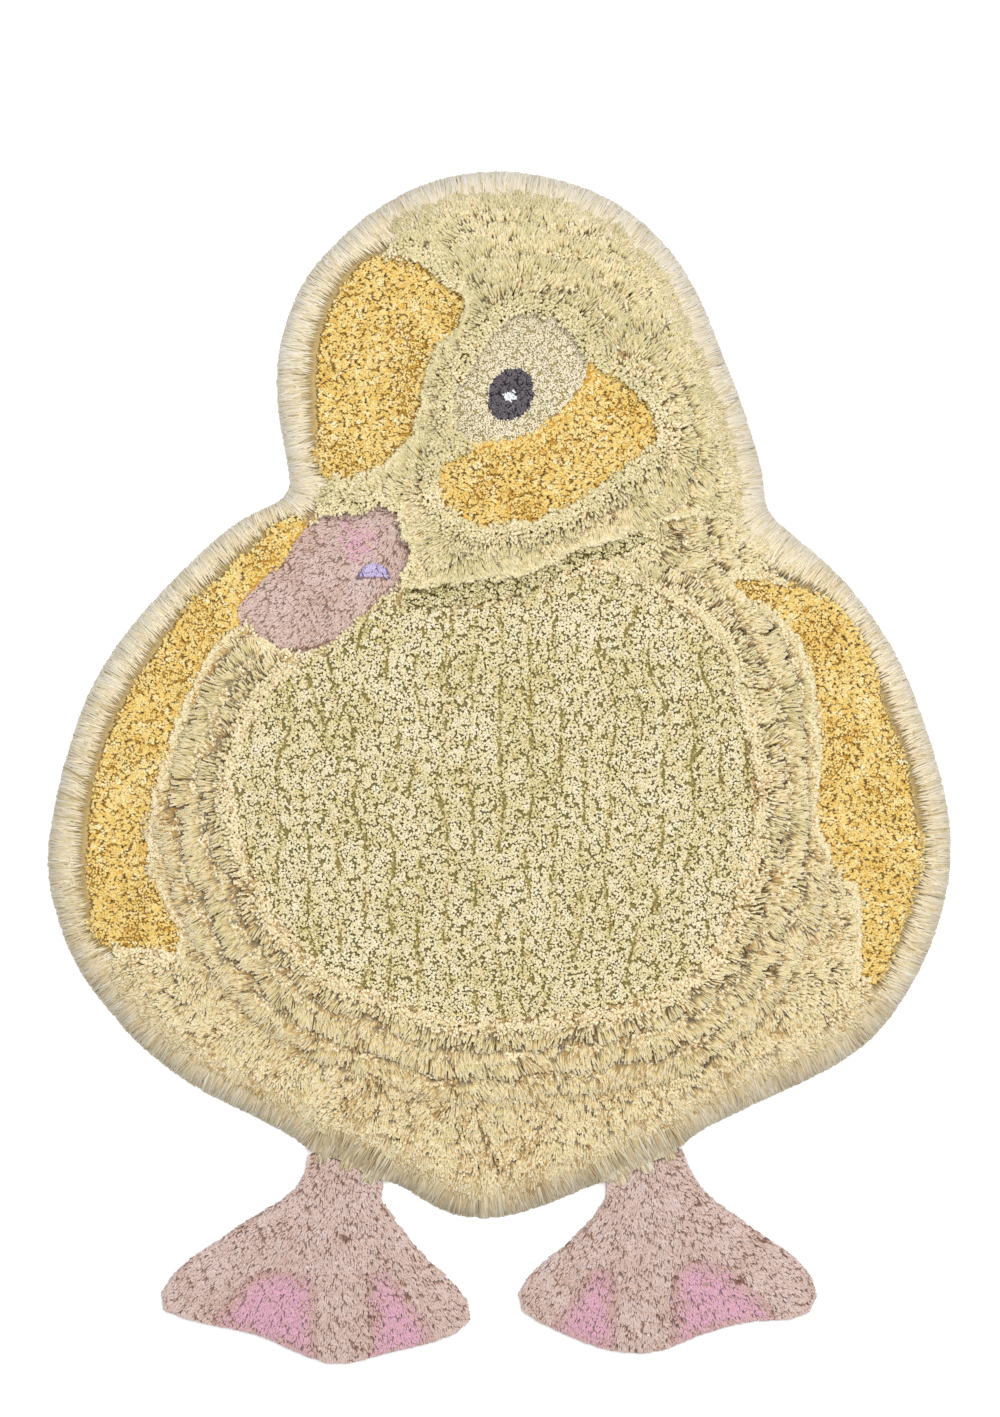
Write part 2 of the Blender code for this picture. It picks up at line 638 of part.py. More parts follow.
def build():
    clear_scene()
    rug = add_collection("duckling_rug")
    cutters = add_collection("cutters")
    cutters.hide_render = True
    yarn = yarn_materials()
    whole, stretches = outline_stretches()

    loops = {
        "head": [e.place for e in head_edge(stretches)],
        "body": [e.place for e in body_edge(stretches)],
        "belly": closed_loop(BELLY),
        "chin_band": closed_loop(CHIN_BAND),
        "cheek_left": closed_loop(CHEEK_LEFT),
        "cheek_right": closed_loop(CHEEK_RIGHT),
        "wing_left": closed_loop(WING_LEFT),
        "wing_right": closed_loop(WING_RIGHT),
        "eye_patch": closed_loop(EYE_PATCH),
        "pupil": ellipse(PUPIL_MIDDLE, PUPIL_HALF_AXES, PUPIL_TILT),
        "eye_glint": ellipse(GLINT_MIDDLE, GLINT_HALF_AXES, 0),
        "beak": closed_loop(BEAK),
        "nostril": crescent(NOSTRIL_MIDDLE, *NOSTRIL_OUTER, NOSTRIL_INNER_RISE),
        **{name: closed_loop(knots) for name, knots in WEBS.items()},
    }

    def cutter(name, loop, high=SHAG.top + CUT_MARGIN):
        obj = prism(name, loop, -CUT_MARGIN, high, cutters)
        obj.hide_render = True
        obj.display_type = "WIRE"
        return obj

    holes = {name: cutter(f"hole_{name}", grown(loop, CLEARANCE)) for name, loop in loops.items()}

    cloth_loop = grown(spaced([*whole, whole[0]], EDGE_PITCH), -CLOTH_INSET)
    prism("base_cloth", cloth_loop, 0, CLOTH_THICKNESS, rug).data.materials.append(yarn["canvas"])
    rebate = cutter("rebate", grown(cloth_loop, CLEARANCE), FIELD_FLOOR)

    def finish(obj, colour, cut_by):
        """Cuts the neighbouring fields out of a field, and gives it its yarn."""
        for name in cut_by:
            cut(obj, holes[name], "DIFFERENCE")
        obj.data.materials.append(yarn[colour])

    def trim(obj):
        """Cuts a field back to its own outline."""
        return cut(obj, cutter(f"trim_{obj.name}", loops[obj.name]), "INTERSECT")

    def lofted(name, edge, middle, spoke):
        """A field that reaches the rug's edge: its rim hangs over the cloth down to the floor."""
        return cut(lofted_pile(name, edge, middle, spoke, 0, rug), rebate, "DIFFERENCE")

    def field(name, height, colour, cut_by=(), pitch=Vector((FIELD_PITCH, FIELD_PITCH))):
        """A field that lies wholly on the base cloth."""
        obj = gridded_pile(name, loops[name], FIELD_FLOOR, height, pitch, rug)
        finish(trim(obj), colour, cut_by)

    head_holes = ["eye_patch", "cheek_left", "cheek_right", "beak"]
    finish(lofted("head_shag", head_edge(stretches), HEAD_MIDDLE, head_spoke), "cream_shag", head_holes)

    body_holes = ["head", "belly", "chin_band", "beak", "wing_left", "wing_right"]
    body = lofted("body_shag", body_edge(stretches), BODY_MIDDLE, body_spoke(loops["belly"]))
    finish(body, "cream_shag", body_holes)

    belly_pitch = Vector((BELLY_ROW / 2, FIELD_PITCH))
    field("belly", belly_height, "sage_belly", ["chin_band"], belly_pitch)
    field("chin_band", even_height(CHIN_PILE), "olive_chin", ["head"])
    field("cheek_left", even_height(MUSTARD_PILE), "mustard")
    field("cheek_right", even_height(MUSTARD_PILE), "mustard", ["eye_patch"])
    field("wing_left", even_height(MUSTARD_PILE), "mustard", ["beak"])
    field("wing_right", even_height(MUSTARD_PILE), "mustard")
    field("eye_patch", even_height(EYE_PILE), "oat_plush", ["pupil"])
    field("pupil", even_height(PUPIL_PILE), "charcoal", ["eye_glint"])
    field("eye_glint", even_height(GLINT_PILE), "white")
    field("beak", even_height(BEAK_PILE), "blush_plush", ["nostril"])
    field("nostril", even_height(NOSTRIL_PILE), "lilac_satin")

    feet = {
        "left": (stretches["left_foot"], LEFT_LEG_LINE, LEFT_FOOT_MIDDLE),
        "right": (stretches["right_foot"], RIGHT_LEG_LINE, RIGHT_FOOT_MIDDLE),
    }
    for side, (outer, leg_line, middle) in feet.items():
        edge = foot_edge(outer, leg_line)
        webs = [name for name in WEBS if name.startswith(f"web_{side}")]
        foot = lofted(f"foot_{side}", edge, middle, foot_spoke)
        finish(foot, "blush_plush", ["body", *webs])
        for name in webs:
            finish(trim(lofted(name, edge, middle, foot_spoke)), "rose_web", [])


build()
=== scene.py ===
# %% [markdown]
# # A tufted rug in the shape of a duckling
#
# The rug is a cut of cotton canvas with fields of yarn punched through it and cut to length: long
# shag on the head and body, a lower and denser belly, mustard cheeks and wings, and short plush on
# the eye, the beak and the feet. The plain solids of those fields come from the frame. This script
# keeps their outlines and heights, and grows the yarn that they stand for.

# %% Load the rug's frame
import math
from typing import NamedTuple

import bmesh
import bpy
import numpy as np
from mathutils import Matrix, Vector, kdtree, noise
from mathutils.bvhtree import BVHTree


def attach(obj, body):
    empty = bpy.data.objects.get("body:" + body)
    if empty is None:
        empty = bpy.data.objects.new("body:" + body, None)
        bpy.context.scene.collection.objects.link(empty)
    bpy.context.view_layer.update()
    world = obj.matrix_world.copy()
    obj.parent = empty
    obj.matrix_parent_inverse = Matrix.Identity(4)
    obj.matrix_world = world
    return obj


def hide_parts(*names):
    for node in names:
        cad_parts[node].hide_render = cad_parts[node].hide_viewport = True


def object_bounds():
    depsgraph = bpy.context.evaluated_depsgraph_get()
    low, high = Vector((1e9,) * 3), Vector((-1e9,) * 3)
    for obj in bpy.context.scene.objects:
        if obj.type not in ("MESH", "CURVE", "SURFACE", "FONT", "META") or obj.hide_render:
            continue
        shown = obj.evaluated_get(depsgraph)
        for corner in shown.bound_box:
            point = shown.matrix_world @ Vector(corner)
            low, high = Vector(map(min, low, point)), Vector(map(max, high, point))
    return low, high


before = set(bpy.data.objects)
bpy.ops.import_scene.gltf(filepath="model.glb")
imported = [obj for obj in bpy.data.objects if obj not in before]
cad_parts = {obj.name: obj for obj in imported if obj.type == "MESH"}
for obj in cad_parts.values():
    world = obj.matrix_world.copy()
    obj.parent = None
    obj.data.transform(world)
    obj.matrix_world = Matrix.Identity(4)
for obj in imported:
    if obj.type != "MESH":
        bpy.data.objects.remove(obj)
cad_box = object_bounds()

MM = 0.001
print("the rug measures", [round((hi - lo) / MM) for lo, hi in zip(*cad_box)], "mm")

# %% [markdown]
# ## Camera, floor and light
#
# The photograph looks straight down at the rug, and one of its pixels is one millimetre of rug. A
# long lens high above keeps the tufts at the rim from leaning outwards in the picture.

# %% Set the camera over the rug
PICTURE_HEIGHT = 1417 * MM  # of rug and floor, from the picture's top edge to its bottom edge
PICTURE_MIDDLE = Vector((0.5 * MM, 59 * MM, 25 * MM))
CAMERA_HEIGHT = 4.0
SENSOR = 36  # in millimetres of film, along the picture's longer side


def put_in_scene(name, data):
    """A new object that holds this data."""
    thing = bpy.data.objects.new(name, data)
    bpy.context.collection.objects.link(thing)
    return thing


camera_data = bpy.data.cameras.new("camera")
camera_data.sensor_fit = "VERTICAL"
camera_data.sensor_height = SENSOR
camera_data.lens = SENSOR * CAMERA_HEIGHT / PICTURE_HEIGHT
camera_data.clip_end = 50
camera = put_in_scene("camera", camera_data)
camera.location = PICTURE_MIDDLE + Vector((0, 0, CAMERA_HEIGHT))
bpy.context.scene.camera = camera
bpy.context.scene.view_settings.view_transform = "Standard"
print("lens", round(camera_data.lens, 1), "mm")

# %% [markdown]
# A floor as pale as the backdrop of a product photograph, and two lights. The key is a wide soft
# panel high over the rug, a little beyond its middle and to the right, so that it draws a short
# shadow beside every tuft. A lower lamp would draw longer ones than the photograph has. The sky
# fills the rest.

# %% Lay the floor and hang the lights
FLOOR_SIDE = 12.0
FLOOR_WHITE = (0.95, 0.95, 0.95, 1)
SKY_STRENGTH = 0.52
KEY_PLACE = Vector((0.4, 0.5, 4.6))
KEY_SIDE = 2.0
KEY_WATTS = 190


def new_material(name, roughness, specular):
    """A material with these constants, and its shader."""
    material = bpy.data.materials.new(name)
    material.use_nodes = True
    shader = material.node_tree.nodes["Principled BSDF"]
    shader.inputs["Roughness"].default_value = roughness
    shader.inputs["Specular IOR Level"].default_value = specular
    return material, shader


def made_of(form, name, material):
    """An object of one material, with the shape of this bmesh."""
    mesh = bpy.data.meshes.new(name)
    form.to_mesh(mesh)
    form.free()
    mesh.materials.append(material)
    return put_in_scene(name, mesh)


floor_paint, floor_shader = new_material("floor_paint", roughness=0.9, specular=0.1)
floor_shader.inputs["Base Color"].default_value = FLOOR_WHITE
floor_form = bmesh.new()
bmesh.ops.create_grid(floor_form, x_segments=1, y_segments=1, size=FLOOR_SIDE / 2)
floor = made_of(floor_form, "floor", floor_paint)

sky = bpy.data.worlds.new("sky")
sky.use_nodes = True
sky.node_tree.nodes["Background"].inputs["Color"].default_value = (1, 1, 1, 1)
sky.node_tree.nodes["Background"].inputs["Strength"].default_value = SKY_STRENGTH
bpy.context.scene.world = sky

key_data = bpy.data.lights.new("key", "AREA")
key_data.size = KEY_SIDE
key_data.energy = KEY_WATTS
key = put_in_scene("key", key_data)
key.location = KEY_PLACE
key.rotation_euler = (PICTURE_MIDDLE - KEY_PLACE).to_track_quat("-Z", "Y").to_euler()
print("lights", len(bpy.data.lights))

# %% [markdown]
# ## A chart of the rug
#
# Every tuft has to know which field it stands in, how high the pile is there and how far away the
# edge is. Each could be asked of the solids one by one, but that is slow for so many. So the solids
# are looked at once from above, a millimetre at a time, and what is seen is kept as charts: the
# field's number and the height of its top.

# %% Chart the fields from above
FIELDS = [
    "head_shag", "body_shag", "chin_band", "belly", "cheek_left", "cheek_right", "wing_left",
    "wing_right", "eye_patch", "pupil", "eye_glint", "beak", "nostril", "foot_left",
    "web_left_outer", "web_left_inner", "foot_right", "web_right_inner", "web_right_outer",
]
CHART_STEP = 1 * MM
CHART_MARGIN = 12 * MM
LOOK_FROM = 0.2
BARE = -1  # the chart's number for the floor

chart_low = np.array([cad_box[0][0], cad_box[0][1]]) - CHART_MARGIN
chart_high = np.array([cad_box[1][0], cad_box[1][1]]) + CHART_MARGIN


def field_tree():
    """A search tree over the tops of all fields, and the number of the field of each triangle."""
    places, triangles, numbers = [], [], []
    for number, name in enumerate(FIELDS):
        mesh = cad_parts[name].data
        start = len(places)
        places += [vertex.co.copy() for vertex in mesh.vertices]
        triangles += [[start + corner for corner in face.vertices] for face in mesh.polygons]
        numbers += [number] * len(mesh.polygons)
    return BVHTree.FromPolygons(places, triangles), numbers


def chart_rug():
    """The field's number and its height on a grid of places, rows from the feet upwards."""
    tree, numbers = field_tree()
    columns = np.arange(chart_low[0], chart_high[0], CHART_STEP)
    rows = np.arange(chart_low[1], chart_high[1], CHART_STEP)
    field = np.full((len(rows), len(columns)), BARE)
    height = np.zeros(field.shape)
    down = Vector((0, 0, -1))
    for row, y in enumerate(rows):
        for column, x in enumerate(columns):
            hit, _, triangle, _ = tree.ray_cast(Vector((x, y, LOOK_FROM)), down)
            if triangle is not None:
                field[row, column] = numbers[triangle]
                height[row, column] = hit.z
    return field, height


field_chart, height_chart = chart_rug()
print("charted", field_chart.shape, "places, of which on the rug", int((field_chart != BARE).sum()))

# %% [markdown]
# The solids stand a hair apart, and a few of the looks fall between two of them. Those places take
# the number and height of a neighbour, so that only the true floor counts as bare.

# %% Close the hairline gaps in the charts
STEPS_AROUND = [(0, 1), (0, -1), (1, 0), (-1, 0), (1, 1), (-1, -1), (1, -1), (-1, 1)]
CROWDED = 5  # a bare place with this many covered neighbours lies in a gap


def close_gaps(field, height):
    """Fills the bare places that lie inside the rug."""
    covered = sum(np.roll(field != BARE, step, axis=(0, 1)).astype(int) for step in STEPS_AROUND)
    for step in STEPS_AROUND:
        gap = (field == BARE) & (covered >= CROWDED) & (np.roll(field, step, axis=(0, 1)) != BARE)
        height[gap] = np.roll(height, step, axis=(0, 1))[gap]
        field[gap] = np.roll(field, step, axis=(0, 1))[gap]


close_gaps(field_chart, height_chart)
rug_chart = field_chart != BARE
print("rug area", round(rug_chart.sum() * (CHART_STEP / MM) ** 2 / 1e6, 4), "square metres")

# %% [markdown]
# Charts are read between their grid places too, so that a height doesn't jump from one tuft to the
# next. The edges of a field are read from its chart as a row of places, each with the direction
# that leads out of the field there.

# %% Read a chart, and find the edges of a field
EDGE_BLUR = 6  # in chart steps
NEIGHBOURS = 6  # how many edge places share in a direction


def looked_up(chart, places):
    """The chart's values at the places, which are rows of x and y."""
    spot = (places - chart_low) / CHART_STEP
    spot = np.clip(spot, 0, np.array(chart.shape)[::-1] - 1.001)
    whole = spot.astype(int)
    part = spot - whole
    column, row = whole[:, 0], whole[:, 1]
    near = chart[row, column] * (1 - part[:, 0]) + chart[row, column + 1] * part[:, 0]
    far = chart[row + 1, column] * (1 - part[:, 0]) + chart[row + 1, column + 1] * part[:, 0]
    return near * (1 - part[:, 1]) + far * part[:, 1]


def blurred(chart, reach):
    """The chart with each value spread over a square of neighbours."""
    chart = chart.astype(float)
    for axis in (0, 1):
        chart = sum(np.roll(chart, step, axis) for step in range(-reach, reach + 1))
        chart = chart / (2 * reach + 1)
    return chart


def widened(chart, reach):
    """Where the chart is true, and as many steps around it."""
    return blurred(chart, reach) > 0


def unit(vectors):
    """The vectors, each brought to a length of one."""
    return vectors / np.maximum(np.linalg.norm(vectors, axis=1, keepdims=True), 1e-9)


def search_tree(places):
    """A tree that finds the nearest of these places."""
    tree = kdtree.KDTree(len(places))
    for number, (x, y) in enumerate(places):
        tree.insert((x, y, 0), number)
    tree.balance()
    return tree


class Edge(NamedTuple):
    """The edge between a field and what lies beyond it."""

    tree: kdtree.KDTree
    outward: np.ndarray


def edge_between(inside, beyond):
    """The places just inside a field, along what lies beyond, with the way out at each."""
    up, across = np.gradient(blurred(beyond, EDGE_BLUR))
    rows, columns = np.nonzero(inside & widened(beyond, 1))
    outward = unit(np.stack([across[rows, columns], up[rows, columns]], axis=-1))
    places = chart_low + np.stack([columns, rows], axis=-1) * CHART_STEP
    return Edge(search_tree(places), outward)


def from_edge(edge, places):
    """How far each place is from the edge, and the way out across it."""
    distance = np.empty(len(places))
    aim = np.empty((len(places), 2))
    for number, (x, y) in enumerate(places):
        found = edge.tree.find_n((x, y, 0), NEIGHBOURS)
        distance[number] = found[0][2]
        aim[number] = edge.outward[[item[1] for item in found]].sum(axis=0)
    return distance, unit(aim)


def inside_of(*nodes):
    """Where the rug is one of these fields."""
    return np.isin(field_chart, [FIELDS.index(node) for node in nodes])


rug_edge = edge_between(rug_chart, ~rug_chart)
print("places along the rug's outline", len(rug_edge.outward))

# %% [markdown]
# ## Shader maths
#
# A dye is one value inside a material. Sums of dyes are written as in Python, and each adds its
# own Math node. Every other node comes from the one method `node`.

# %% A small class for sums inside a material


class Dye:
    """One output inside a material's node tree, which takes part in sums."""

    def __init__(self, tree, socket=None):
        self.tree = tree
        self.socket = socket

    def node(self, kind, settings=(), inputs=(), output=0):
        """Adds a node: its settings first, then the values or dyes of its inputs."""
        node = self.tree.nodes.new(kind)
        for name, value in dict(settings).items():
            if name == "stops":
                for _ in range(len(value) - 2):
                    node.color_ramp.elements.new(0.5)
                for element, (place, _) in zip(node.color_ramp.elements, value):
                    element.position = place
                for element, (_, colour) in zip(node.color_ramp.elements, value):
                    element.color = colour
            else:
                setattr(node, name, value)
        for name, value in dict(inputs).items():
            if isinstance(value, Dye):
                self.tree.links.new(value.socket, node.inputs[name])
            else:
                node.inputs[name].default_value = value
        return Dye(self.tree, node.outputs[output])

    def maths(self, operation, *values):
        """A Math node on these values."""
        return self.node("ShaderNodeMath", {"operation": operation}, dict(enumerate(values)))

    def __add__(self, other):
        return self.maths("ADD", self, other)

    def __sub__(self, other):
        return self.maths("SUBTRACT", self, other)

    def __rsub__(self, other):
        return self.maths("SUBTRACT", other, self)

    def __mul__(self, other):
        return self.maths("MULTIPLY", self, other)

    __radd__ = __add__
    __rmul__ = __mul__

    def ramp(self, stops):
        """A colour ramp read at this value."""
        return self.node("ShaderNodeValToRGB", {"stops": stops}, {"Fac": self})

    def dipped(self, colour):
        """This colour multiplied by another."""
        mix = {"data_type": "RGBA", "blend_type": "MULTIPLY"}
        return self.node("ShaderNodeMix", mix, {0: 1.0, 6: self, 7: colour}, output=2)

    def shaded(self, colour):
        """A colour made darker or lighter by this value."""
        grey = self.node("ShaderNodeCombineColor", (), {0: self, 1: self, 2: self})
        return grey.dipped(colour)

    def colours(self, shader):
        """Makes this the shader's colour."""
        self.tree.links.new(self.socket, shader.inputs["Base Color"])

    def bumps(self, shader, strength, height):
        """Makes this value the shader's fine relief, of this height."""
        relief = {"Strength": strength, "Distance": height, "Height": self}
        bump = self.node("ShaderNodeBump", (), relief)
        self.tree.links.new(bump.socket, shader.inputs["Normal"])


def linear(tone):
    """A colour written as six hexadecimal digits, as the shader wants it."""
    parts = [int(tone[place:place + 2], 16) / 255 for place in (0, 2, 4)]
    parts = [part / 12.92 if part <= 0.04045 else ((part + 0.055) / 1.055) ** 2.4 for part in parts]
    return (*parts, 1)


print("a cream yarn is", [round(part, 2) for part in linear("E8DCA8")])

# %% [markdown]
# ## Yarn
#
# A yarn is a bundle of fine cotton fibres, dyed a little unevenly. Every strand of pile carries
# two numbers in its own UV map: its tint across, and how far up the strand a point is. The dye
# reads only those two, so strands may share a place in the map and still agree. A picture could
# carry the colours instead, but it would have to be painted, and stored with the rug.

# %% Dye the yarns
MAP_START = 0.02  # strands keep clear of the map's side edges
MAP_SPAN = 0.96
FIBRE_WIDTH = 0.0022  # of one fibre across the map
FIBRE_RUN = 0.55  # of one fibre along the strand
FIBRE_SHADE = 0.3  # how much lighter a fibre is than the groove beside it
# painted shade: how a yarn darkens from its cut end, at 1, to its root, at 0, deep in the pile
WARM_ROOT_SHADE = ((0.0, "D8C890"), (0.5, "EADEB4"), (0.85, "FAF8EC"), (1.0, "FFFFFF"))
RIM_ROOT_SHADE = ((0.0, "DCD0B0"), (0.4, "F0EADA"), (1.0, "FFFFFF"))
PALE_ROOT_SHADE = ((0.0, "E6DEDA"), (0.5, "F4F0EC"), (1.0, "FFFFFF"))


def yarn(name, tones, roots=WARM_ROOT_SHADE, sheen=0.25, roughness=0.85):
    """A dyed yarn. Its tones run from tint 0 to tint 1, and painted shade darkens its root."""
    material, shader = new_material(name, roughness, specular=0.2)
    shader.inputs["Sheen Weight"].default_value = sheen
    shader.inputs["Sheen Roughness"].default_value = 0.5
    dye = Dye(material.node_tree)
    place = dye.node("ShaderNodeUVMap", {"uv_map": "OFBake"})
    across = dye.node("ShaderNodeSeparateXYZ", (), {0: place}, output=0)
    along = Dye(dye.tree, across.socket.node.outputs[1])
    tint = (across - MAP_START) * (1 / MAP_SPAN)
    tones = [linear(tone) for tone in tones.split()]
    tone = tint.ramp([(number / (len(tones) - 1), tone) for number, tone in enumerate(tones)])
    grain = {0: across * (1 / FIBRE_WIDTH), 1: along * (1 / FIBRE_RUN)}
    grain = {"Vector": dye.node("ShaderNodeCombineXYZ", (), grain), "Scale": 1.0, "Detail": 1.5}
    fibres = dye.node("ShaderNodeTexNoise", {"noise_dimensions": "2D"}, grain)
    # painted shade: the yarn darkens towards its root, where the pile shades it
    depth = along.ramp([(stop, linear(shade)) for stop, shade in roots])
    light = 1 + (fibres - 0.5) * FIBRE_SHADE
    light.shaded(tone.dipped(depth)).colours(shader)
    fibres.bumps(shader, 0.35, 0.3 * MM)
    return material


shag_yarn = yarn("cream_shag_yarn", "B8955C E2CFA4 F0E3C4 E2D6AC D0C698 D6CCA6")
rim_yarn = yarn("cream_rim_yarn", "B49A70 DCCCA4 F0E6D0 F6F0E6", RIM_ROOT_SHADE)
belly_yarn = yarn("sage_belly_yarn", "B0A268 D2C48A E0D4A8 E6DBBA ECE3CA")
mustard_yarn = yarn("mustard_yarn", "D2A44C E2BE60 E8CA78 ECD48E EEDDA6 F2E8CA")
plush_yarn = yarn("blush_plush_yarn", "84604E B4907E D4B8AC DCC6BE E2D0CC", PALE_ROOT_SHADE)
web_yarn = yarn("rose_web_yarn", "7E5448 BC9488 D0B2A8 DCB0BC E0AEC4", PALE_ROOT_SHADE)
eye_yarn = yarn("oat_plush_yarn", "8A7A4C D0C49E E6DCBE F0E6CE F2EAD8")
chin_yarn = yarn("olive_chin_yarn", "665C2C A0945A C8BC86 DED4A8 E8E0C4")
pupil_yarn = yarn("charcoal_yarn", "4A444A 5C555D 6E676D 827A82", PALE_ROOT_SHADE)
white_yarn = yarn("white_yarn", "E8E8EE F4F4FA FFFFFF", PALE_ROOT_SHADE)
nostril_yarn = yarn("lilac_satin_yarn", "6E6494 A79BC6 C4B9DE D2C8E8", PALE_ROOT_SHADE, 0.1, 0.45)
print("yarns", len([material for material in bpy.data.materials if "yarn" in material.name]))

# %% [markdown]
# ## One strand
#
# A strand of cut yarn is modelled once, as a slim prism of three sides: a little circle is capped
# and drawn upwards ring by ring. The prism is only a pattern. Its corners remember their ring and
# their side, and the function that grows a field puts each ring where that strand bends. A strand
# of pile comes to a point at its root, where the needle's hole pinches it, and blooms at its cut
# end. The long hair of the rim has one ring more, to bend at. Satin stitch is as wide all along.

# %% Model the strands that all others copy
SIDES = 3
TINT_WIDTH = 0.0035  # half of a strand's width in the map
CAP_SLANT = 0.03  # keeps the ends of a strand from having no width in the map


class Strand(NamedTuple):
    """The pattern of a strand: a ring and a side for each corner, and its faces."""

    ring: np.ndarray
    side: np.ndarray
    corners: np.ndarray
    starts: np.ndarray
    across: np.ndarray
    along: np.ndarray
    triangles: int


def drawn_up(rings, pointed_root):
    """A bmesh prism with this many rings, a unit apart, closed at both ends."""
    form = bmesh.new()
    bmesh.ops.create_circle(form, cap_ends=True, radius=1, segments=SIDES)
    top = list(form.faces)
    for ring in range(1, rings):
        grown = bmesh.ops.extrude_face_region(form, geom=top)["geom"]
        raised = [item for item in grown if isinstance(item, bmesh.types.BMVert)]
        bmesh.ops.translate(form, vec=(0, 0, 1), verts=raised)
        if ring > 1:
            bmesh.ops.delete(form, geom=top, context="FACES_ONLY")
        top = [item for item in grown if isinstance(item, bmesh.types.BMFace)]
    if pointed_root:
        root = [vertex for vertex in form.verts if round(vertex.co.z) == 0]
        bmesh.ops.pointmerge(form, verts=root, merge_co=Vector((1, 0, 0)))
    bmesh.ops.recalc_face_normals(form, faces=form.faces)
    form.verts.index_update()
    return form


def strand_pattern(rings, pointed_root):
    """A strand's pattern, with this many rings from root to cut end."""
    form = drawn_up(rings, pointed_root)
    ring = np.array([round(vertex.co.z) for vertex in form.verts])
    turn = np.array([math.atan2(vertex.co.y, vertex.co.x) for vertex in form.verts])
    side = (np.round(turn / math.tau * SIDES).astype(int) + 1) % SIDES
    corners, starts, across, along = [], [], [], []
    for face in form.faces:
        starts.append(len(corners))
        is_end = len({ring[vertex.index] for vertex in face.verts}) == 1
        for vertex in face.verts:
            corners.append(vertex.index)
            across.append(side[vertex.index] - 1)
            share = ring[vertex.index] / (rings - 1)
            slant = CAP_SLANT if is_end and side[vertex.index] == 1 else 0
            along.append(share - slant if share > 0.5 else share + slant)
    triangles = sum(len(face.verts) - 2 for face in form.faces)
    form.free()
    return Strand(ring, side, *map(np.array, (corners, starts, across, along)), triangles)


PILE = strand_pattern(2, pointed_root=True)
HAIR = strand_pattern(3, pointed_root=True)
STITCH = strand_pattern(2, pointed_root=False)
print("triangles in a strand", [pattern.triangles for pattern in (PILE, HAIR, STITCH)])

# %% [markdown]
# Every piece of yarn is fixed to the rug in the place of the solid that it dresses. The fields are
# listed by their yarn.

# %% Fix a piece to the rug
SLOT_FIELDS = {
    "cream_shag": ["head_shag", "body_shag"],
    "olive_chin": ["chin_band"],
    "sage_belly": ["belly"],
    "mustard": ["cheek_left", "cheek_right", "wing_left", "wing_right"],
    "oat_plush": ["eye_patch"],
    "charcoal": ["pupil"],
    "white": ["eye_glint"],
    "blush_plush": ["beak", "foot_left", "foot_right"],
    "rose_web": ["web_left_outer", "web_left_inner", "web_right_inner", "web_right_outer"],
    "lilac_satin": ["nostril"],
}
YARN_SLOTS = {field: slot for slot, fields in SLOT_FIELDS.items() for field in fields}


def keep(piece, node):
    """Fixes a piece to the rug, in the place of its solid."""
    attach(piece, "root")
    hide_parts(node)


print("slots", len(SLOT_FIELDS), "for", len(YARN_SLOTS), "fields")

# %% [markdown]
# To grow a field, each strand gets its middle line, its thickness at each ring and its tint. A
# particle system or a node group could spread copies of one strand, but here every strand has a
# bend of its own. So all strands of a field are laid into one mesh as arrays. They draw their
# chances from one source, which starts the same each time, so that the rug always comes out alike.

# %% Lay many strands into one mesh
luck = np.random.default_rng(11)
grown_triangles = []


def weave_strands(name, node, pattern, lines, thick, tint, material):
    """One piece with a strand along each line. lines holds a point for each strand and ring."""
    count = len(lines)
    chord = unit(lines[:, -1] - lines[:, 0])
    sideways = unit(np.cross(chord, luck.normal(size=(count, 3))))
    other = np.cross(chord, sideways)
    angle = math.tau * np.arange(SIDES) / SIDES
    around = sideways[:, None] * np.cos(angle)[None, :, None]
    around = around + other[:, None] * np.sin(angle)[None, :, None]
    vertices = lines[:, pattern.ring] + around[:, pattern.side] * thick[:, pattern.ring, None]
    corners = pattern.corners[None] + len(pattern.ring) * np.arange(count)[:, None]
    starts = pattern.starts[None] + len(pattern.corners) * np.arange(count)[:, None]
    across = MAP_START + MAP_SPAN * (tint[:, None] + TINT_WIDTH * pattern.across[None])
    along = np.broadcast_to(pattern.along[None], across.shape)
    mesh = bpy.data.meshes.new(name)
    mesh.vertices.add(vertices.shape[0] * vertices.shape[1])
    mesh.vertices.foreach_set("co", vertices.astype(np.float32).ravel())
    mesh.loops.add(corners.size)
    mesh.loops.foreach_set("vertex_index", corners.astype(np.int32).ravel())
    mesh.polygons.add(starts.size)
    mesh.polygons.foreach_set("loop_start", starts.astype(np.int32).ravel())
    mesh.update(calc_edges=True)
    places = np.stack([across, along], axis=-1).astype(np.float32)
    mesh.uv_layers.new(name="OFBake").data.foreach_set("uv", places.ravel())
    if pattern is STITCH:
        mesh.shade_smooth()  # a pointed strand keeps flat sides, or its tip would look turned away
    mesh.materials.append(material)
    keep(put_in_scene(name, mesh), node)
    grown_triangles.append(pattern.triangles * count)
    print(name, count, "strands,", grown_triangles[-1], "triangles")


# %% [markdown]
# ## Fields of tufts
#
# Yarn isn't spread evenly. The tufting needle puts a pinch of strands into each hole, and they lean
# together, away from the pinch next to them. That is what gives shag its lumps and its dark gaps.
# So strands are scattered on a shaken grid, sorted into tufts, and each tuft gets a lean and a tint
# of its own. The field adds the way it was combed.

# %% Scatter strands and sort them into tufts
ROW_SHARE = math.sqrt(3) / 2  # rows of a hexagonal grid stand this much closer than its places
SHAKE = 0.32


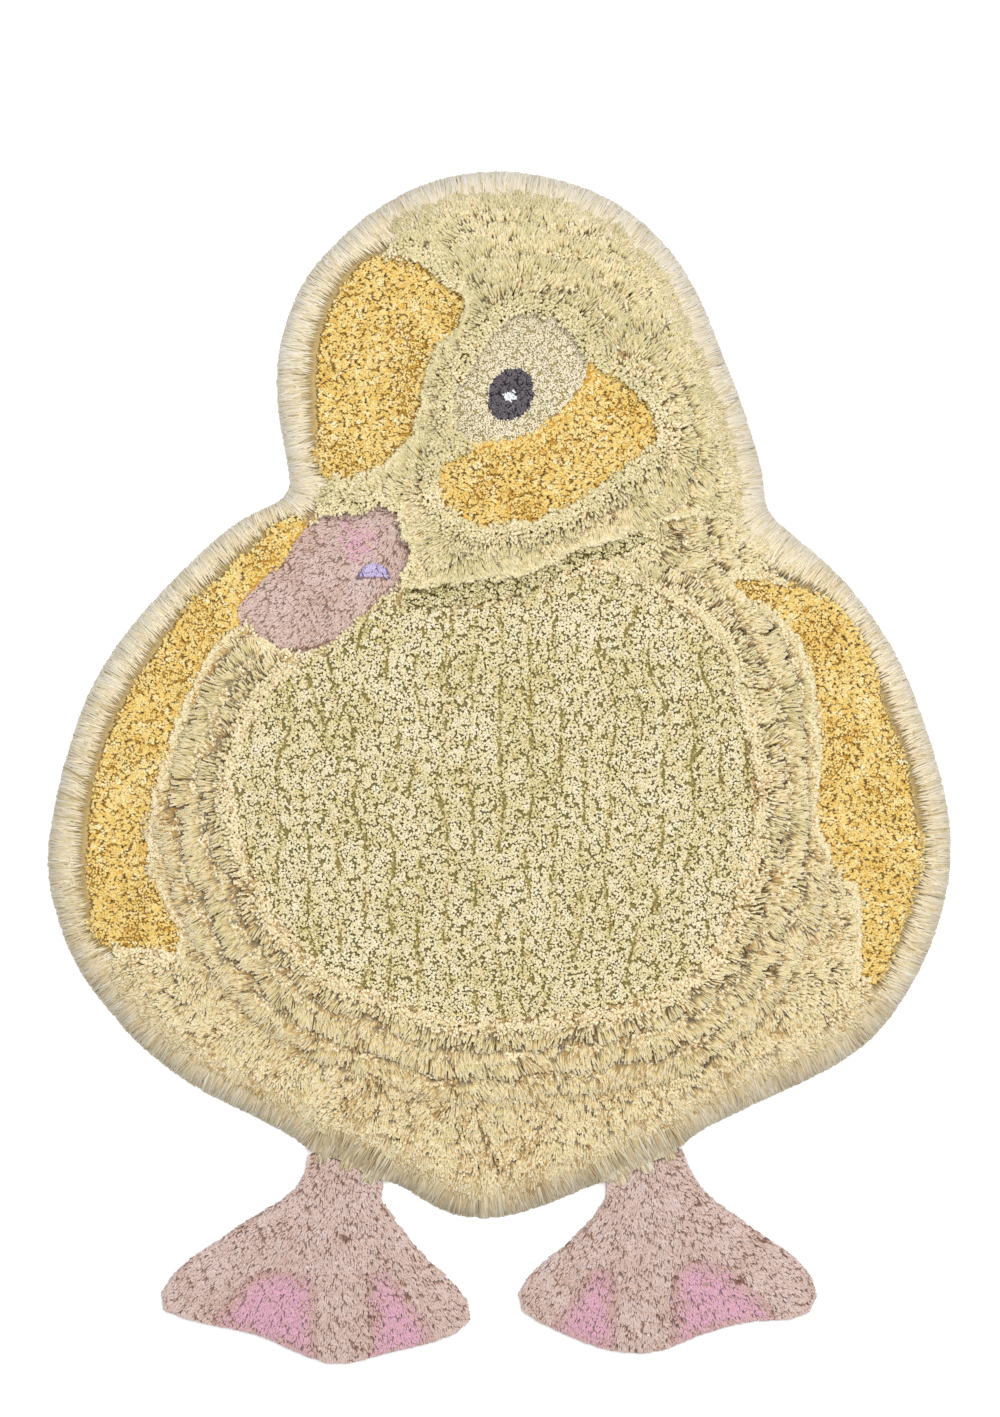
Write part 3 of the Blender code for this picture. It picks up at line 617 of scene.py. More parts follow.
def scattered(inside, pitch):
    """Places on a shaken hexagonal grid, kept where the chart is true."""
    columns = np.arange(chart_low[0], chart_high[0], pitch)
    rows = np.arange(chart_low[1], chart_high[1], pitch * ROW_SHARE)
    x, y = np.meshgrid(columns, rows)
    x[1::2] += pitch / 2
    x += luck.uniform(-SHAKE, SHAKE, x.shape) * pitch
    y += luck.uniform(-SHAKE, SHAKE, y.shape) * pitch
    places = np.stack([x.ravel(), y.ravel()], axis=-1)
    return places[looked_up(inside, places) > 0.5]


def sorted_into_tufts(places, width):
    """The number of each place's tuft, and the middle of each tuft."""
    needle = scattered(np.ones(field_chart.shape, dtype=bool), width)
    tree = search_tree(needle)
    tuft = np.array([tree.find((x, y, 0))[1] for x, y in places])
    strands = np.maximum(np.bincount(tuft, minlength=len(needle)), 1)
    middles = [np.bincount(tuft, places[:, axis], len(needle)) / strands for axis in (0, 1)]
    return tuft, np.stack(middles, axis=-1)


def directions(count):
    """Random level directions of length one."""
    angle = luck.uniform(0, math.tau, count)
    return np.stack([np.cos(angle), np.sin(angle)], axis=-1)


def speckle(places, size, seed):
    """Smooth unevenness from -1 to 1, about this wide. Each seed gives another pattern."""
    return np.array([noise.noise((x / size, y / size, seed)) for x, y in places])


print("rows of strands stand", round(ROW_SHARE, 3), "of a pitch apart")

# %% [markdown]
# At the rug's outline no strand may reach past the trimmed edge. Each is followed in small steps
# over the chart, and cut where the rug ends.

# %% Keep strands inside the rug's outline
FOLLOW_STEPS = 24


def trimmed(places, reach, cover, ragged):
    """The reach of each strand, cut where it would pass the outline of the cover chart."""
    share = np.ones(len(places))
    for step in range(FOLLOW_STEPS, 0, -1):
        part = step / FOLLOW_STEPS
        outside = looked_up(cover, places + reach * part) < 0.5
        share[outside] = part - 1 / FOLLOW_STEPS
    length = np.maximum(np.linalg.norm(reach, axis=1), 1e-6)
    cut = np.where(share < 1, luck.uniform(0, ragged, len(places)) / length, 0)
    return reach * np.clip(share - cut, 0.02, 1)[:, None]


print("a strand is followed in", FOLLOW_STEPS, "steps")

# %% [markdown]
# A recipe says how one yarn stands. Everything in it is a size that a maker could measure: the
# distance between strands, the width of a tuft, how thick a strand is and how far it leans. Only
# the upper part of a strand is modelled, because its neighbours hide the rest.

# %% Write down how a yarn stands, and grow it


class Recipe(NamedTuple):
    """How the strands of one field stand."""

    pitch: float  # from one strand to the next
    tuft: float  # width of a tuft
    root_thick: float  # half of a strand's width at its root, which a pointed strand doesn't show
    tip_thick: float
    gather: float  # share of the way by which the tips of a tuft draw together
    lean: float  # how far a tuft leans, at random
    stray: float  # how far a strand strays from its tuft
    sink: float  # how far the shortest strands end under their tuft's top
    tuft_sink: float  # how far the lowest tufts end under the pile's top
    swell: float  # share by which a strand's end spreads where it stands upright
    root_share: float  # of the pile's height, where the modelled part of a strand begins
    droop: float  # how much a strand sinks for each millimetre it reaches
    tint_spread: float
    tuft_spread: float  # of tints between tufts


ROOT_GATHER = 0.3  # roots draw together into the needle's hole
DEEPER = 0.7  # how much lower strands begin beside a drop, where their sides are seen
CLIMB = 1 * MM  # a strand that leans on a higher neighbour stands no more than this over its own pile
LEANING = 10 * MM  # a strand that reaches this far no longer counts as upright
TRIM_RAGGED = 1.5 * MM  # how unevenly strands are cut at the outline


def pile_top(places):
    """The height of the solids at these places."""
    return looked_up(height_chart, places)


def stand_up(recipe, roots, reach, sink, low, surface, deep):
    """The middle line of each strand, from root to tip, and its thickness at both."""
    top = surface(roots)
    tips = roots + reach
    length = np.linalg.norm(reach, axis=1)
    lines = np.empty((len(roots), 2, 3))
    lines[:, 0, :2], lines[:, 1, :2] = roots, tips
    lines[:, 0, 2] = (top - low) * recipe.root_share * (1 - DEEPER * deep)
    lines[:, 1, 2] = np.clip(surface(tips), top - length * recipe.droop, top + CLIMB) - sink - low
    thick = np.array((recipe.root_thick, recipe.tip_thick))
    upright = np.clip(1 - length / LEANING, 0, 1)
    return lines, thick * (1 + recipe.swell * upright)[:, None]


def grow(name, node, recipe, places, material, comb=0.0, tint=0.5, low=0.0, loose=1.0,
         cover=rug_chart, surface=pile_top, pattern=PILE, deep=0.0):
    """Grows the strands of a field from their places.

    comb is how far and which way each strand is combed, and low how far it ends under its
    neighbours. loose scales the random lean of each place. deep is 1 beside a drop.
    """
    count = len(places)
    tuft, middles = sorted_into_tufts(places, recipe.tuft)
    inwards = middles[tuft] - places
    tufts = len(middles)
    lean = directions(tufts) * luck.uniform(0.2, 1, (tufts, 1)) * recipe.lean
    stray = directions(count) * luck.uniform(0, recipe.stray, (count, 1))
    free = (lean[tuft] + stray) * np.broadcast_to(loose, count)[:, None]
    roots = places + inwards * ROOT_GATHER
    reach = places + inwards * recipe.gather + free + comb - roots
    reach = trimmed(roots, reach, cover, TRIM_RAGGED)
    sink = luck.uniform(0, recipe.sink, count) + luck.uniform(0, recipe.tuft_sink, tufts)[tuft]
    lines, thick = stand_up(recipe, roots, reach, sink, low, surface, deep)
    thick = thick * luck.uniform(0.8, 1.2, (count, 1))
    lines[:, :, 2] = np.maximum(lines[:, :, 2], thick)
    tint = tint + luck.normal(0, recipe.tint_spread, count)
    tint = np.clip(tint + luck.normal(0, recipe.tuft_spread, tufts)[tuft], 0.01, 0.99)
    weave_strands(name, node, pattern, lines, thick, tint, material)


print("a recipe holds", len(Recipe._fields), "measures")

# %% [markdown]
# ## The trimmed outline
#
# The outermost pile was combed straight out over the edge and trimmed in one smooth line. The
# solids have notched locks there. The notches are evened out here, in the chart that the rim is
# cut by. The legs don't count: the pile ends above them, and hangs over their yarn a little.

# %% Even out the rug's edge
EVEN_REACH = 11  # in chart steps
EVEN_LEVEL = 0.43  # a little outside the middle of the notches
LEGS = ["foot_left", "foot_right", *SLOT_FIELDS["rose_web"]]

torso = rug_chart & ~inside_of(*LEGS)
even_torso = blurred(blurred(torso, EVEN_REACH), EVEN_REACH) > EVEN_LEVEL
even_edge = edge_between(even_torso, ~even_torso)
rim_cover = even_torso | inside_of(*LEGS)


def from_trim(places):
    """How far each place is inside the trimmed outline, below zero outside, and the way out."""
    distance, outward = from_edge(even_edge, places)
    return np.where(looked_up(even_torso, places) > 0.5, distance, -distance), outward


print("places along the trimmed outline", len(even_edge.outward))

# %% [markdown]
# The rim rises from its trimmed edge to the shag inside it. A straight slope would look like a
# bevel. This one is gentle at the edge, where the pile lies nearly flat.

# %% Shape the slope of the rim
RIM_BAND = 38 * MM
RIM_EDGE_TOP = 5 * MM
RIM_INNER_TOP = 31 * MM
WING_INNER_TOP = 27 * MM  # beside the lower mustard fields
OVER_LEGS_TOP = 15 * MM
MUSTARD_REACH = 30  # in chart steps
LEGS_REACH = 6

mustard_share = blurred(inside_of("wing_left", "wing_right", "cheek_left"), MUSTARD_REACH)
beside_mustard = np.clip(mustard_share * 4, 0, 1)
near_legs = blurred(inside_of(*LEGS), LEGS_REACH)


def rim_top(places):
    """The height of the combed rim, falling from the shag to the trimmed edge."""
    distance, _ = from_trim(places)
    inner = RIM_INNER_TOP - (RIM_INNER_TOP - WING_INNER_TOP) * looked_up(beside_mustard, places)
    part = np.clip(distance / RIM_BAND, 0, 1)
    rise = 0.5 * part + part ** 2 * (1.5 - part)
    top = RIM_EDGE_TOP + (inner - RIM_EDGE_TOP) * rise
    return np.maximum(top, OVER_LEGS_TOP * (looked_up(near_legs, places) > 0.02))


print("the rim rises from", RIM_EDGE_TOP / MM, "to", RIM_INNER_TOP / MM, "mm")

# %% [markdown]
# ## The mats between the tufts
#
# Under the tips of the pile the strands stand so close that nothing is seen between them but a
# shaded woolly floor. Short strands could fill it, at many times the cost. Here that floor is a
# copy of the field's own solid, pressed down to a share of its height and drawn in under the rim.
# Its tones are darker than the yarns: painted shade for the depth of the pile.

# %% Lay a mat in every field
MAT_SHARES = {"cream_shag": 0.5, "sage_belly": 0.5, "mustard": 0.66, "olive_chin": 0.6}
PLUSH_MAT_SHARE = 0.7
MAT_REACH = 30 * MM  # the mats of the shag are drawn in over this width
MAT_INSET = 3 * MM
LOCKS_OUT = 4 * MM  # how far the solids' locks stand outside the trimmed outline
LEG_REACH = 12 * MM
LEG_INSET = 3 * MM
# painted shade: each mat is darker than its yarn, for the shade deep in the pile
MAT_SHADE_TONES = {
    "cream_shag": "C8AE74", "sage_belly": "8E8350", "olive_chin": "6C6434", "mustard": "C0943E",
    "oat_plush": "A89868", "charcoal": "322E34", "white": "D8D8DE", "blush_plush": "A88474",
    "rose_web": "AC8490", "lilac_satin": "8478A4",
}
WELD = 0.01 * MM


def merged(node):
    """A bmesh copy of a solid with its loose triangles joined."""
    form = bmesh.new()
    form.from_mesh(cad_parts[node].data)
    bmesh.ops.remove_doubles(form, verts=form.verts, dist=WELD)
    return form


def mat_material(name, tone):
    """Matted yarn: shaded, fuzzy and uneven."""
    material, shader = new_material(name, roughness=0.95, specular=0.1)
    dye = Dye(material.node_tree)
    place = dye.node("ShaderNodeTexCoord", output=3)
    fuzz = dye.node("ShaderNodeTexNoise", (), {"Vector": place, "Scale": 420.0, "Detail": 3.0})
    (0.7 + fuzz * 0.6).shaded(linear(tone)).colours(shader)
    fuzz.bumps(shader, 0.6, 1.0 * MM)
    return material


def draw_in(form, distance, outward, inset, reach, outside):
    """Draws a mat's outer edge in under the pile, by the inset, over the width of the reach."""
    narrowing = (reach - inset) / (reach + outside)
    amounts = np.clip((reach - distance) * (1 - narrowing), 0, inset + outside)
    for vertex, way, amount in zip(form.verts, outward, amounts):
        vertex.co.xy = vertex.co.xy - Vector(way * amount)


def lay_mat(node):
    """The woolly floor of one field."""
    form = merged(node)
    base = min(vertex.co.z for vertex in form.verts)
    share = MAT_SHARES.get(YARN_SLOTS[node], PLUSH_MAT_SHARE)
    for vertex in form.verts:
        vertex.co.z = base + (vertex.co.z - base) * share
    places = np.array([vertex.co.xy for vertex in form.verts])
    if node in SLOT_FIELDS["cream_shag"]:
        for vertex, top in zip(form.verts, rim_top(places)):
            vertex.co.z = min(vertex.co.z, max(base, top * share))
        draw_in(form, *from_trim(places), MAT_INSET, MAT_REACH, LOCKS_OUT)
    if node in LEGS:
        draw_in(form, *from_edge(rug_edge, places), LEG_INSET, LEG_REACH, 0)
    keep(made_of(form, node + "_mat", mat_materials[YARN_SLOTS[node]]), node)


mat_materials = {slot: mat_material(slot + "_mat", tone) for slot, tone in MAT_SHADE_TONES.items()}
for node in FIELDS:
    lay_mat(node)

# %% [markdown]
# ## Which way the pile lies
#
# Tufts at the edge of a high field hang over a lower neighbour, some of them further than others,
# and show their sides there.

# %% Measure how far tufts hang over an edge
OVERHANG_BAND = 13 * MM
OVERHANG_SHARE = 0.32  # of the step down to the neighbour
RAGGED = 0.9  # some tufts hang over by this share more, some by as much less
RAGGED_SIZE = 10 * MM
LEAST_STEP = 3 * MM
field_heights = [float(height_chart[field_chart == number].mean()) for number in range(len(FIELDS))]


def lower_than(node):
    """Where the rug is a lower field than this one."""
    own = field_heights[FIELDS.index(node)]
    lower = [number for number, height in enumerate(field_heights) if height < own - LEAST_STEP]
    return np.isin(field_chart, lower)


def hanging_over(node, places, more=False):
    """How each strand hangs over a lower neighbour, and how near that edge is, from 0 to 1."""
    inside, beyond = inside_of(node) | more, lower_than(node)
    if not (inside & widened(beyond, 1)).any():
        return np.zeros((len(places), 2)), np.zeros(len(places))
    distance, aim = from_edge(edge_between(inside, beyond), places)
    step = np.clip(pile_top(places) - pile_top(places + aim * OVERHANG_BAND), 0, None)
    near = np.clip(1 - distance / OVERHANG_BAND, 0, 1) * (step > LEAST_STEP)
    hang = step * OVERHANG_SHARE * (1 + RAGGED * speckle(places, RAGGED_SIZE, 20))
    return aim * (hang * near)[:, None], near


print("heights", [round(height / MM) for height in field_heights])

# %% [markdown]
# ## Belly
#
# The belly is the densest field. Its yarn is cut level and stands upright in wavy rows, so from
# above one sees the cut ends, each splayed a little, with dark specks between them. Where two rows
# part, the tufts on both sides lean away from the parting. The rows could be laid one by one, but
# a wave over the whole field gives their sway and their breaks at once. A narrow strip of shag
# beside the beak is trimmed as short, and grows with the belly.

# %% Grow the belly
BELLY_ROW = 27 * MM
BELLY_SWAY = 26 * MM
BELLY_PARTING = 3.5 * MM
BELLY_SPREAD = 1.8 * MM  # how far the rows lean apart
PARTING_SHARPNESS = 18
HOLE_LEVEL = 0.4
HOLE_EDGE = 0.1
HOLE_DEPTH = 2.8 * MM
HOLE_SIZE = 5 * MM
SMOOTHING = 12  # in chart steps
BELLY_RECIPE = Recipe(
    pitch=2.2 * MM, tuft=7.5 * MM, root_thick=0.4 * MM, tip_thick=1.9 * MM, gather=0.0,
    lean=2.5 * MM, stray=2.0 * MM, sink=2.0 * MM, tuft_sink=1.5 * MM, swell=0.0,
    root_share=0.45, droop=0.1, tint_spread=0.14, tuft_spread=0.12,
)


def smoothed_top(node):
    """A function that gives the height of a field without its finer lumps."""
    inside = inside_of(node)
    share = blurred(inside, SMOOTHING)
    level = blurred(height_chart * inside, SMOOTHING) / np.maximum(share, 0.01)
    chart = np.where(share > 0.01, level, 0)
    return lambda places: looked_up(chart, places)


def holes(places, size, seed, more=0.0):
    """Where the pile has opened in small holes: 1 inside one, 0 between them."""
    return np.clip((speckle(places, size, seed) + more - HOLE_LEVEL) / HOLE_EDGE, 0, 1)


def belly_partings(places):
    """How near each place is to a parting between two rows, and on which side of it."""
    sway = BELLY_SWAY * speckle(places * np.array((0.5, 1)), 75 * MM, 1)
    turn = math.tau * (places[:, 0] + sway) / BELLY_ROW
    near = ((1 + np.cos(turn)) / 2) ** PARTING_SHARPNESS
    broken = np.clip(0.6 + 1.8 * speckle(places, 28 * MM, 3), 0, 1)
    return near * broken, np.sign(np.sin(turn))


beak_side = inside_of("body_shag")
for node in ("beak", "belly"):
    beak_side &= widened(inside_of(node), 12)
places = scattered(inside_of("belly") | beak_side, BELLY_RECIPE.pitch)
comb, _ = hanging_over("belly", places, more=beak_side)
near, side = belly_partings(places)
comb[:, 0] += side * near * BELLY_SPREAD
opened = holes(places * (1, 0.6), HOLE_SIZE, 14, 0.5 * near)
# painted shade: the tint darkens at each parting, where the rows open
grow(
    "belly_tufts", "belly", BELLY_RECIPE, places, belly_yarn, comb=comb,
    tint=0.6 + 0.25 * speckle(places, 60 * MM, 7) - 0.6 * near,
    low=near * BELLY_PARTING + opened * HOLE_DEPTH, surface=smoothed_top("belly"),
)

# %% [markdown]
# ## Head and body shag
#
# The long yarn leans outwards in rows, each row hanging over the roots of the next, like thatch.
# On the body the rows are rings round the belly. On the head they go round the eye and its cheek.
# So a row is read from the distance to that core, and no ring has to be drawn by hand.

# %% Write down how the shag stands
RIM_OVERLAP = 8 * MM  # inner strands are rooted this far into the rim
RIM_ALONE = 12 * MM  # beside the mustard fields the combed rim stands alone over this width
SHAG_ROW = 28 * MM
LEAST_ROW = 9 * MM
NARROW_ROW = 8 * MM  # rows fade out as they come down to this width
SHAG_ROWS = 3
ROW_SHARE_OF_WIDTH = 0.85  # of the space between a core and the rim, where it is narrow
ROW_START = 0.45  # of a row, where the first one meets the core
ROW_DROP = 12 * MM  # how far the roots of a row lie under the row before it
ROW_RISE = 2 * MM  # how far the end of a row stands over the pile
ROW_COMB = (10 * MM, 7 * MM)  # how far strands are combed out, at a row's start and added at its end
RIM_FALL = 5 * MM  # how far the shag comes down to meet the rim
RIM_FALL_WIDTH = 16 * MM
SHAG_HOLE = 6 * MM  # how deep the pile opens between its loosest tufts
SHAG_HOLE_SIZE = 9 * MM
CORE_BAND = 10 * MM  # beside the core the pile stands more upright
COMB_SWAY = 1.1  # how far the comb wavered, in radians
BODY_RECIPE = Recipe(
    pitch=2.0 * MM, tuft=12 * MM, root_thick=0.6 * MM, tip_thick=1.5 * MM, gather=0.0,
    lean=4.0 * MM, stray=3.5 * MM, sink=2.0 * MM, tuft_sink=3.0 * MM, swell=0.6,
    root_share=0.78, droop=0.3, tint_spread=0.16, tuft_spread=0.08,
)
HEAD_RECIPE = BODY_RECIPE._replace(
    pitch=1.9 * MM, tuft=10 * MM, sink=1.8 * MM, tuft_sink=2.2 * MM,
)


def rows_round(places, core, rim_distance):
    """For rows of shag round a core: how low each place lies, its part of the row, the way out."""
    distance, aim = from_edge(edge_between(core, rug_chart & ~core), places)
    width = (distance + rim_distance - RIM_BAND) * ROW_SHARE_OF_WIDTH
    row = np.clip(width / SHAG_ROWS, LEAST_ROW, SHAG_ROW)
    count = distance / row + ROW_START + 0.25 * speckle(places, 35 * MM, 4)
    part = count % 1
    fade = np.clip(SHAG_ROWS + 0.5 - count, 0, 1) * np.clip((row - NARROW_ROW) / NARROW_ROW, 0, 1)
    return ((1 - part) ** 2 * ROW_DROP - part * ROW_RISE) * fade, part * fade, aim


def swayed(aim, angle):
    """Level directions turned by an angle."""
    x, y = aim[:, 0], aim[:, 1]
    cosine, sine = np.cos(angle), np.sin(angle)
    return np.stack([x * cosine - y * sine, x * sine + y * cosine], axis=-1)


def shag_lie(node, pitch, core, strength):
    """Places for strands inside the rim, and how low, how shaded, how combed and how near a drop."""
    places = scattered(inside_of(node) & ~beak_side, pitch)
    rim_distance, _ = from_trim(places)
    inner = rim_distance > RIM_BAND - RIM_OVERLAP + RIM_ALONE * looked_up(beside_mustard, places)
    places, rim_distance = places[inner], rim_distance[inner]
    hang, near = hanging_over(node, places)
    low, part, aim = rows_round(places, core, rim_distance)
    low *= (1 - near) * strength(places)
    low += holes(places, SHAG_HOLE_SIZE, 17) * SHAG_HOLE * (1 - near)
    shade = low / ROW_DROP
    low += RIM_FALL * np.clip(1 - (rim_distance - RIM_BAND + RIM_OVERLAP) / RIM_FALL_WIDTH, 0, 1)
    aim = swayed(aim, COMB_SWAY * speckle(places, 45 * MM, 16))
    distance, _ = from_edge(edge_between(core, ~core), places)
    combed = np.clip(distance / CORE_BAND, 0.5, 1) * (1 - near)
    comb = aim * ((ROW_COMB[0] + ROW_COMB[1] * part) * combed)[:, None] + hang
    return places, low, shade, comb, near


print("rows of shag", SHAG_ROWS)

# %% [markdown]
# Under the strands that are seen stands a filling of wider and shorter ones, so that a gap between
# two tufts shows golden yarn in the shade and not the canvas.

# %% Grow the shag inside the rim
FILLING_RECIPE = BODY_RECIPE._replace(
    pitch=3.5 * MM, root_thick=0.8 * MM, tip_thick=2.6 * MM, lean=2 * MM, stray=1.5 * MM,
    swell=0, root_share=0.3,
)
FILLING_DEPTH = 4 * MM  # the filling ends this far under the strands that are seen
# painted shade: how much darker the filling is, and the sunk start of each row
FILLING_SHADE = 0.1
ROW_SHADE = 0.6
HEAD_MIDDLE = (8 * MM, 385 * MM)


def grow_inner_shag(node, recipe, core, tint, strength=lambda places: 1):
    """The shag inside the rim, in rows round its core, over its filling."""
    for layer, kind, under in (("_filling", FILLING_RECIPE, 1), ("_tufts", recipe, 0)):
        places, low, shade, comb, near = shag_lie(node, kind.pitch, core, strength)
        # painted shade: the sunk start of a row and the filling get darker tints
        grow(
            node + layer, node, kind, places, shag_yarn, comb=comb * (1 - under),
            tint=tint(places) - ROW_SHADE * shade - FILLING_SHADE * under,
            low=low + FILLING_DEPTH * under, loose=1 - 0.3 * near, surface=smoothed_top(node),
            deep=near,
        )


def head_tint(places):
    """Yellow-cream, a little greener beside the eye."""
    away = np.linalg.norm(places - np.array(HEAD_MIDDLE), axis=1)
    return 0.62 + 0.2 * np.clip(1 - away / (150 * MM), 0, 1) + 0.2 * speckle(places, 50 * MM, 2)


def body_tint(places):
    """Cream, more tan towards the tail."""
    return 0.44 + 0.1 * places[:, 1] / 0.4 + 0.2 * speckle(places, 50 * MM, 5)


def head_rows(places):
    """The rows on the head are deep at its right, and hardly there at its left."""
    return np.clip(0.3 + places[:, 0] / (120 * MM), 0.2, 0.9)


eye_and_cheek = inside_of("eye_patch", "cheek_right", "pupil", "eye_glint")
grow_inner_shag("head_shag", HEAD_RECIPE, eye_and_cheek, head_tint, head_rows)
grow_inner_shag("body_shag", BODY_RECIPE, inside_of("belly", "chin_band"), body_tint)

# %% [markdown]
# In the outermost band each tuft lies over the next one out, like thatch, down to the trimmed
# edge. Thin dark slits stay open between the tufts. The strands are planned from their tips, so
# that the trimmed edge is full, and their roots are found by going back.

# %% Grow the combed rim
RIM_REACH = 26 * MM
RIM_LEAST_REACH = 18 * MM
RIM_OVER = 4 * MM  # how far the strands reached past the edge before they were trimmed
RIM_INNER = 40 * MM  # the innermost combed tips, under the first of the shag
LEG_FRINGE = 8 * MM  # how far the pile hangs over the legs
RIM_RECIPE = Recipe(
    pitch=2.4 * MM, tuft=7 * MM, root_thick=0.5 * MM, tip_thick=1.5 * MM, gather=0.2,
    lean=2.0 * MM, stray=1.8 * MM, sink=2.0 * MM, tuft_sink=2.4 * MM, swell=0.2,
    root_share=0.55, droop=0.9, tint_spread=0.16, tuft_spread=0.06,
)


def rim_tint(places):
    """Whitest round the head, and as warm as the shag between the legs."""
    up = places[:, 1] / 0.6
    tint = 0.62 + 0.12 * np.maximum(up, 0) + 0.42 * np.minimum(up, 0)
    return tint + 0.15 * speckle(places, 40 * MM, 9)


def grow_rim(node):
    """The band of strands combed out over the edge of one shag field."""
    tips = scattered(inside_of(node) & even_torso | inside_of(*LEGS), RIM_RECIPE.pitch)
    distance, outward = from_trim(tips)
    near = (distance >= -LEG_FRINGE) & (distance <= RIM_INNER)
    tips, distance, outward = tips[near], distance[near], outward[near]
    back = trimmed(tips, -outward * RIM_REACH, inside_of(node, *LEGS), 0)
    rooted = looked_up(inside_of(node), tips + back) > 0.5
    length = np.maximum(np.linalg.norm(back, axis=1) + RIM_OVER, RIM_LEAST_REACH)
    places, comb = (tips + back)[rooted], (outward * length[:, None])[rooted]
    _, beside_drop = hanging_over(node, places)
    # painted shade: the rim darkens inwards, where its strands lie under the shag
    grow(
        node + "_rim", node, RIM_RECIPE, places, rim_yarn, comb=comb,
        tint=rim_tint(places) - 0.2 * (distance[rooted] / RIM_INNER) ** 2,
        cover=rim_cover, surface=rim_top, deep=beside_drop,
    )


for node in SLOT_FIELDS["cream_shag"]:
    grow_rim(node)

# %% [markdown]
# The longest strands lie on top. They were combed out from the shag to the trimmed edge, and their
# whole length is seen, so they draw the fine streaks of the rim. They bend once, where they come
# out of the pile.

# %% Comb the longest strands over the rim
HAIR_PITCH = 2.9 * MM
HAIR_BAND = (14 * MM, 46 * MM)  # the longest strands are rooted this far inside the edge
HAIR_OVER = 4 * MM
HAIR_LONGEST = 36 * MM
HAIR_BEND = ((0, 2.5 * MM), (0.3, 0.4 * MM), (1, 0.8 * MM))  # share of its reach, and depth there
HAIR_THICK = (0.5 * MM, 1.1 * MM, 1.1 * MM)
HAIR_SINK = 1.6 * MM
HAIR_SWAY = 0.35  # how far the comb wavered, in radians
HAIR_STRAY = 0.12
HAIR_RAGGED = 1 * MM


def comb_hair(node):
    """Long strands that lie on the rim of one shag field."""
    roots = scattered(inside_of(node), HAIR_PITCH)
    distance, outward = from_trim(roots)
    near = (distance > HAIR_BAND[0]) & (distance < HAIR_BAND[1])
    roots, distance, outward = roots[near], distance[near], outward[near]
    count = len(roots)
    angle = HAIR_SWAY * speckle(roots, 14 * MM, 21) + luck.normal(0, HAIR_STRAY, count)
    length = np.minimum(distance + HAIR_OVER, HAIR_LONGEST)
    reach = trimmed(roots, swayed(outward, angle) * length[:, None], rim_cover, HAIR_RAGGED)
    sink = luck.uniform(0, HAIR_SINK, count)
    lines = np.empty((count, len(HAIR_BEND), 3))
    for ring, (share, depth) in enumerate(HAIR_BEND):
        lines[:, ring, :2] = roots + reach * share
        lines[:, ring, 2] = rim_top(lines[:, ring, :2]) - depth - sink
    thick = np.array(HAIR_THICK) * luck.uniform(0.75, 1.25, (count, 1))
    lines[:, :, 2] = np.maximum(lines[:, :, 2], thick)
    tint = np.clip(rim_tint(roots) + luck.normal(0, 0.18, count), 0.01, 0.99)
    weave_strands(node + "_hair", node, HAIR, lines, thick, tint, rim_yarn)


for node in SLOT_FIELDS["cream_shag"]:
    comb_hair(node)

# %% [markdown]
# ## Mustard cheeks and wings
#
# The mustard yarn is plied from orange, straw and cream threads, which shows as a salt-and-pepper
# mix of tints. One tint for each tuft, with a wide spread, comes closest to that. The pile stands
# lower than the shag, and was brushed this way and that. It reaches in a little under the shag, so
# that no bare mat shows where the two meet.

# %% Grow the cheeks and wings
MUSTARD_RECIPE = Recipe(
    pitch=2.0 * MM, tuft=4.5 * MM, root_thick=0.4 * MM, tip_thick=1.7 * MM, gather=0.0,
    lean=3.0 * MM, stray=1.5 * MM, sink=1.5 * MM, tuft_sink=1.5 * MM, swell=0.0,
    root_share=0.7, droop=0.2, tint_spread=0.10, tuft_spread=0.16,
)
BRUSHED = np.array((5.5, 2.5)) * MM  # more to the sides than up and down
MUSTARD_HOLE = 2.2 * MM
MUSTARD_UNDER = 3  # chart steps by which the field reaches in under the shag


def brushed(places, size, seed):
    """A way to lean for each place, which turns slowly over the field."""
    angle = math.tau * speckle(places, size, seed)
    return np.stack([np.cos(angle), np.sin(angle)], axis=-1)


shag = inside_of(*SLOT_FIELDS["cream_shag"])
for node in SLOT_FIELDS["mustard"]:
    under_shag = shag & widened(inside_of(node), MUSTARD_UNDER)
    places = scattered(inside_of(node) | under_shag, MUSTARD_RECIPE.pitch)
    comb, near = hanging_over(node, places)
    comb += brushed(places, 70 * MM, 6) * BRUSHED
    grow(
        node + "_tufts", node, MUSTARD_RECIPE, places, mustard_yarn, comb=comb,
        tint=0.5 + 0.15 * speckle(places, 50 * MM, 8),
        low=holes(places, HOLE_SIZE, 15) * MUSTARD_HOLE, deep=near, surface=smoothed_top(node),
    )

# %% [markdown]
# ## Short plush
#
# The eye patch, the beak and the feet are cut short and brushed, so their yarn ends stand close.
# Brushing opens fine creases, which run from the ankle out along the toes. A crease could be cut
# into the mat, but the pile itself makes it: its strands are a little lower there, and darkened
# with painted shade.

# %% Grow the plush of the feet
PLUSH_RECIPE = Recipe(
    pitch=1.65 * MM, tuft=6 * MM, root_thick=0.4 * MM, tip_thick=1.35 * MM, gather=0.05,
    lean=2.0 * MM, stray=1.2 * MM, sink=0.8 * MM, tuft_sink=1.0 * MM, swell=0.0,
    root_share=0.72, droop=0.1, tint_spread=0.08, tuft_spread=0.05,
)
ANKLES = {"left": (-155 * MM, -375 * MM), "right": (150 * MM, -375 * MM)}
FLECK_WIDTH = 2.4 * MM
FLECK_LENGTH = 14 * MM
FLECK_LEVEL = 0.15  # flecks come where the unevenness passes this
FLECK_EDGE = 0.08
FLECK_DEPTH = 1.1 * MM
# painted shade: how much darker a strand is in a fleck or crease
FLECK_SHADE = 0.5
BRUSHED_OUT = 7 * MM
WEB_FADE = 16 * MM  # how far from its edge a web's pink comes up


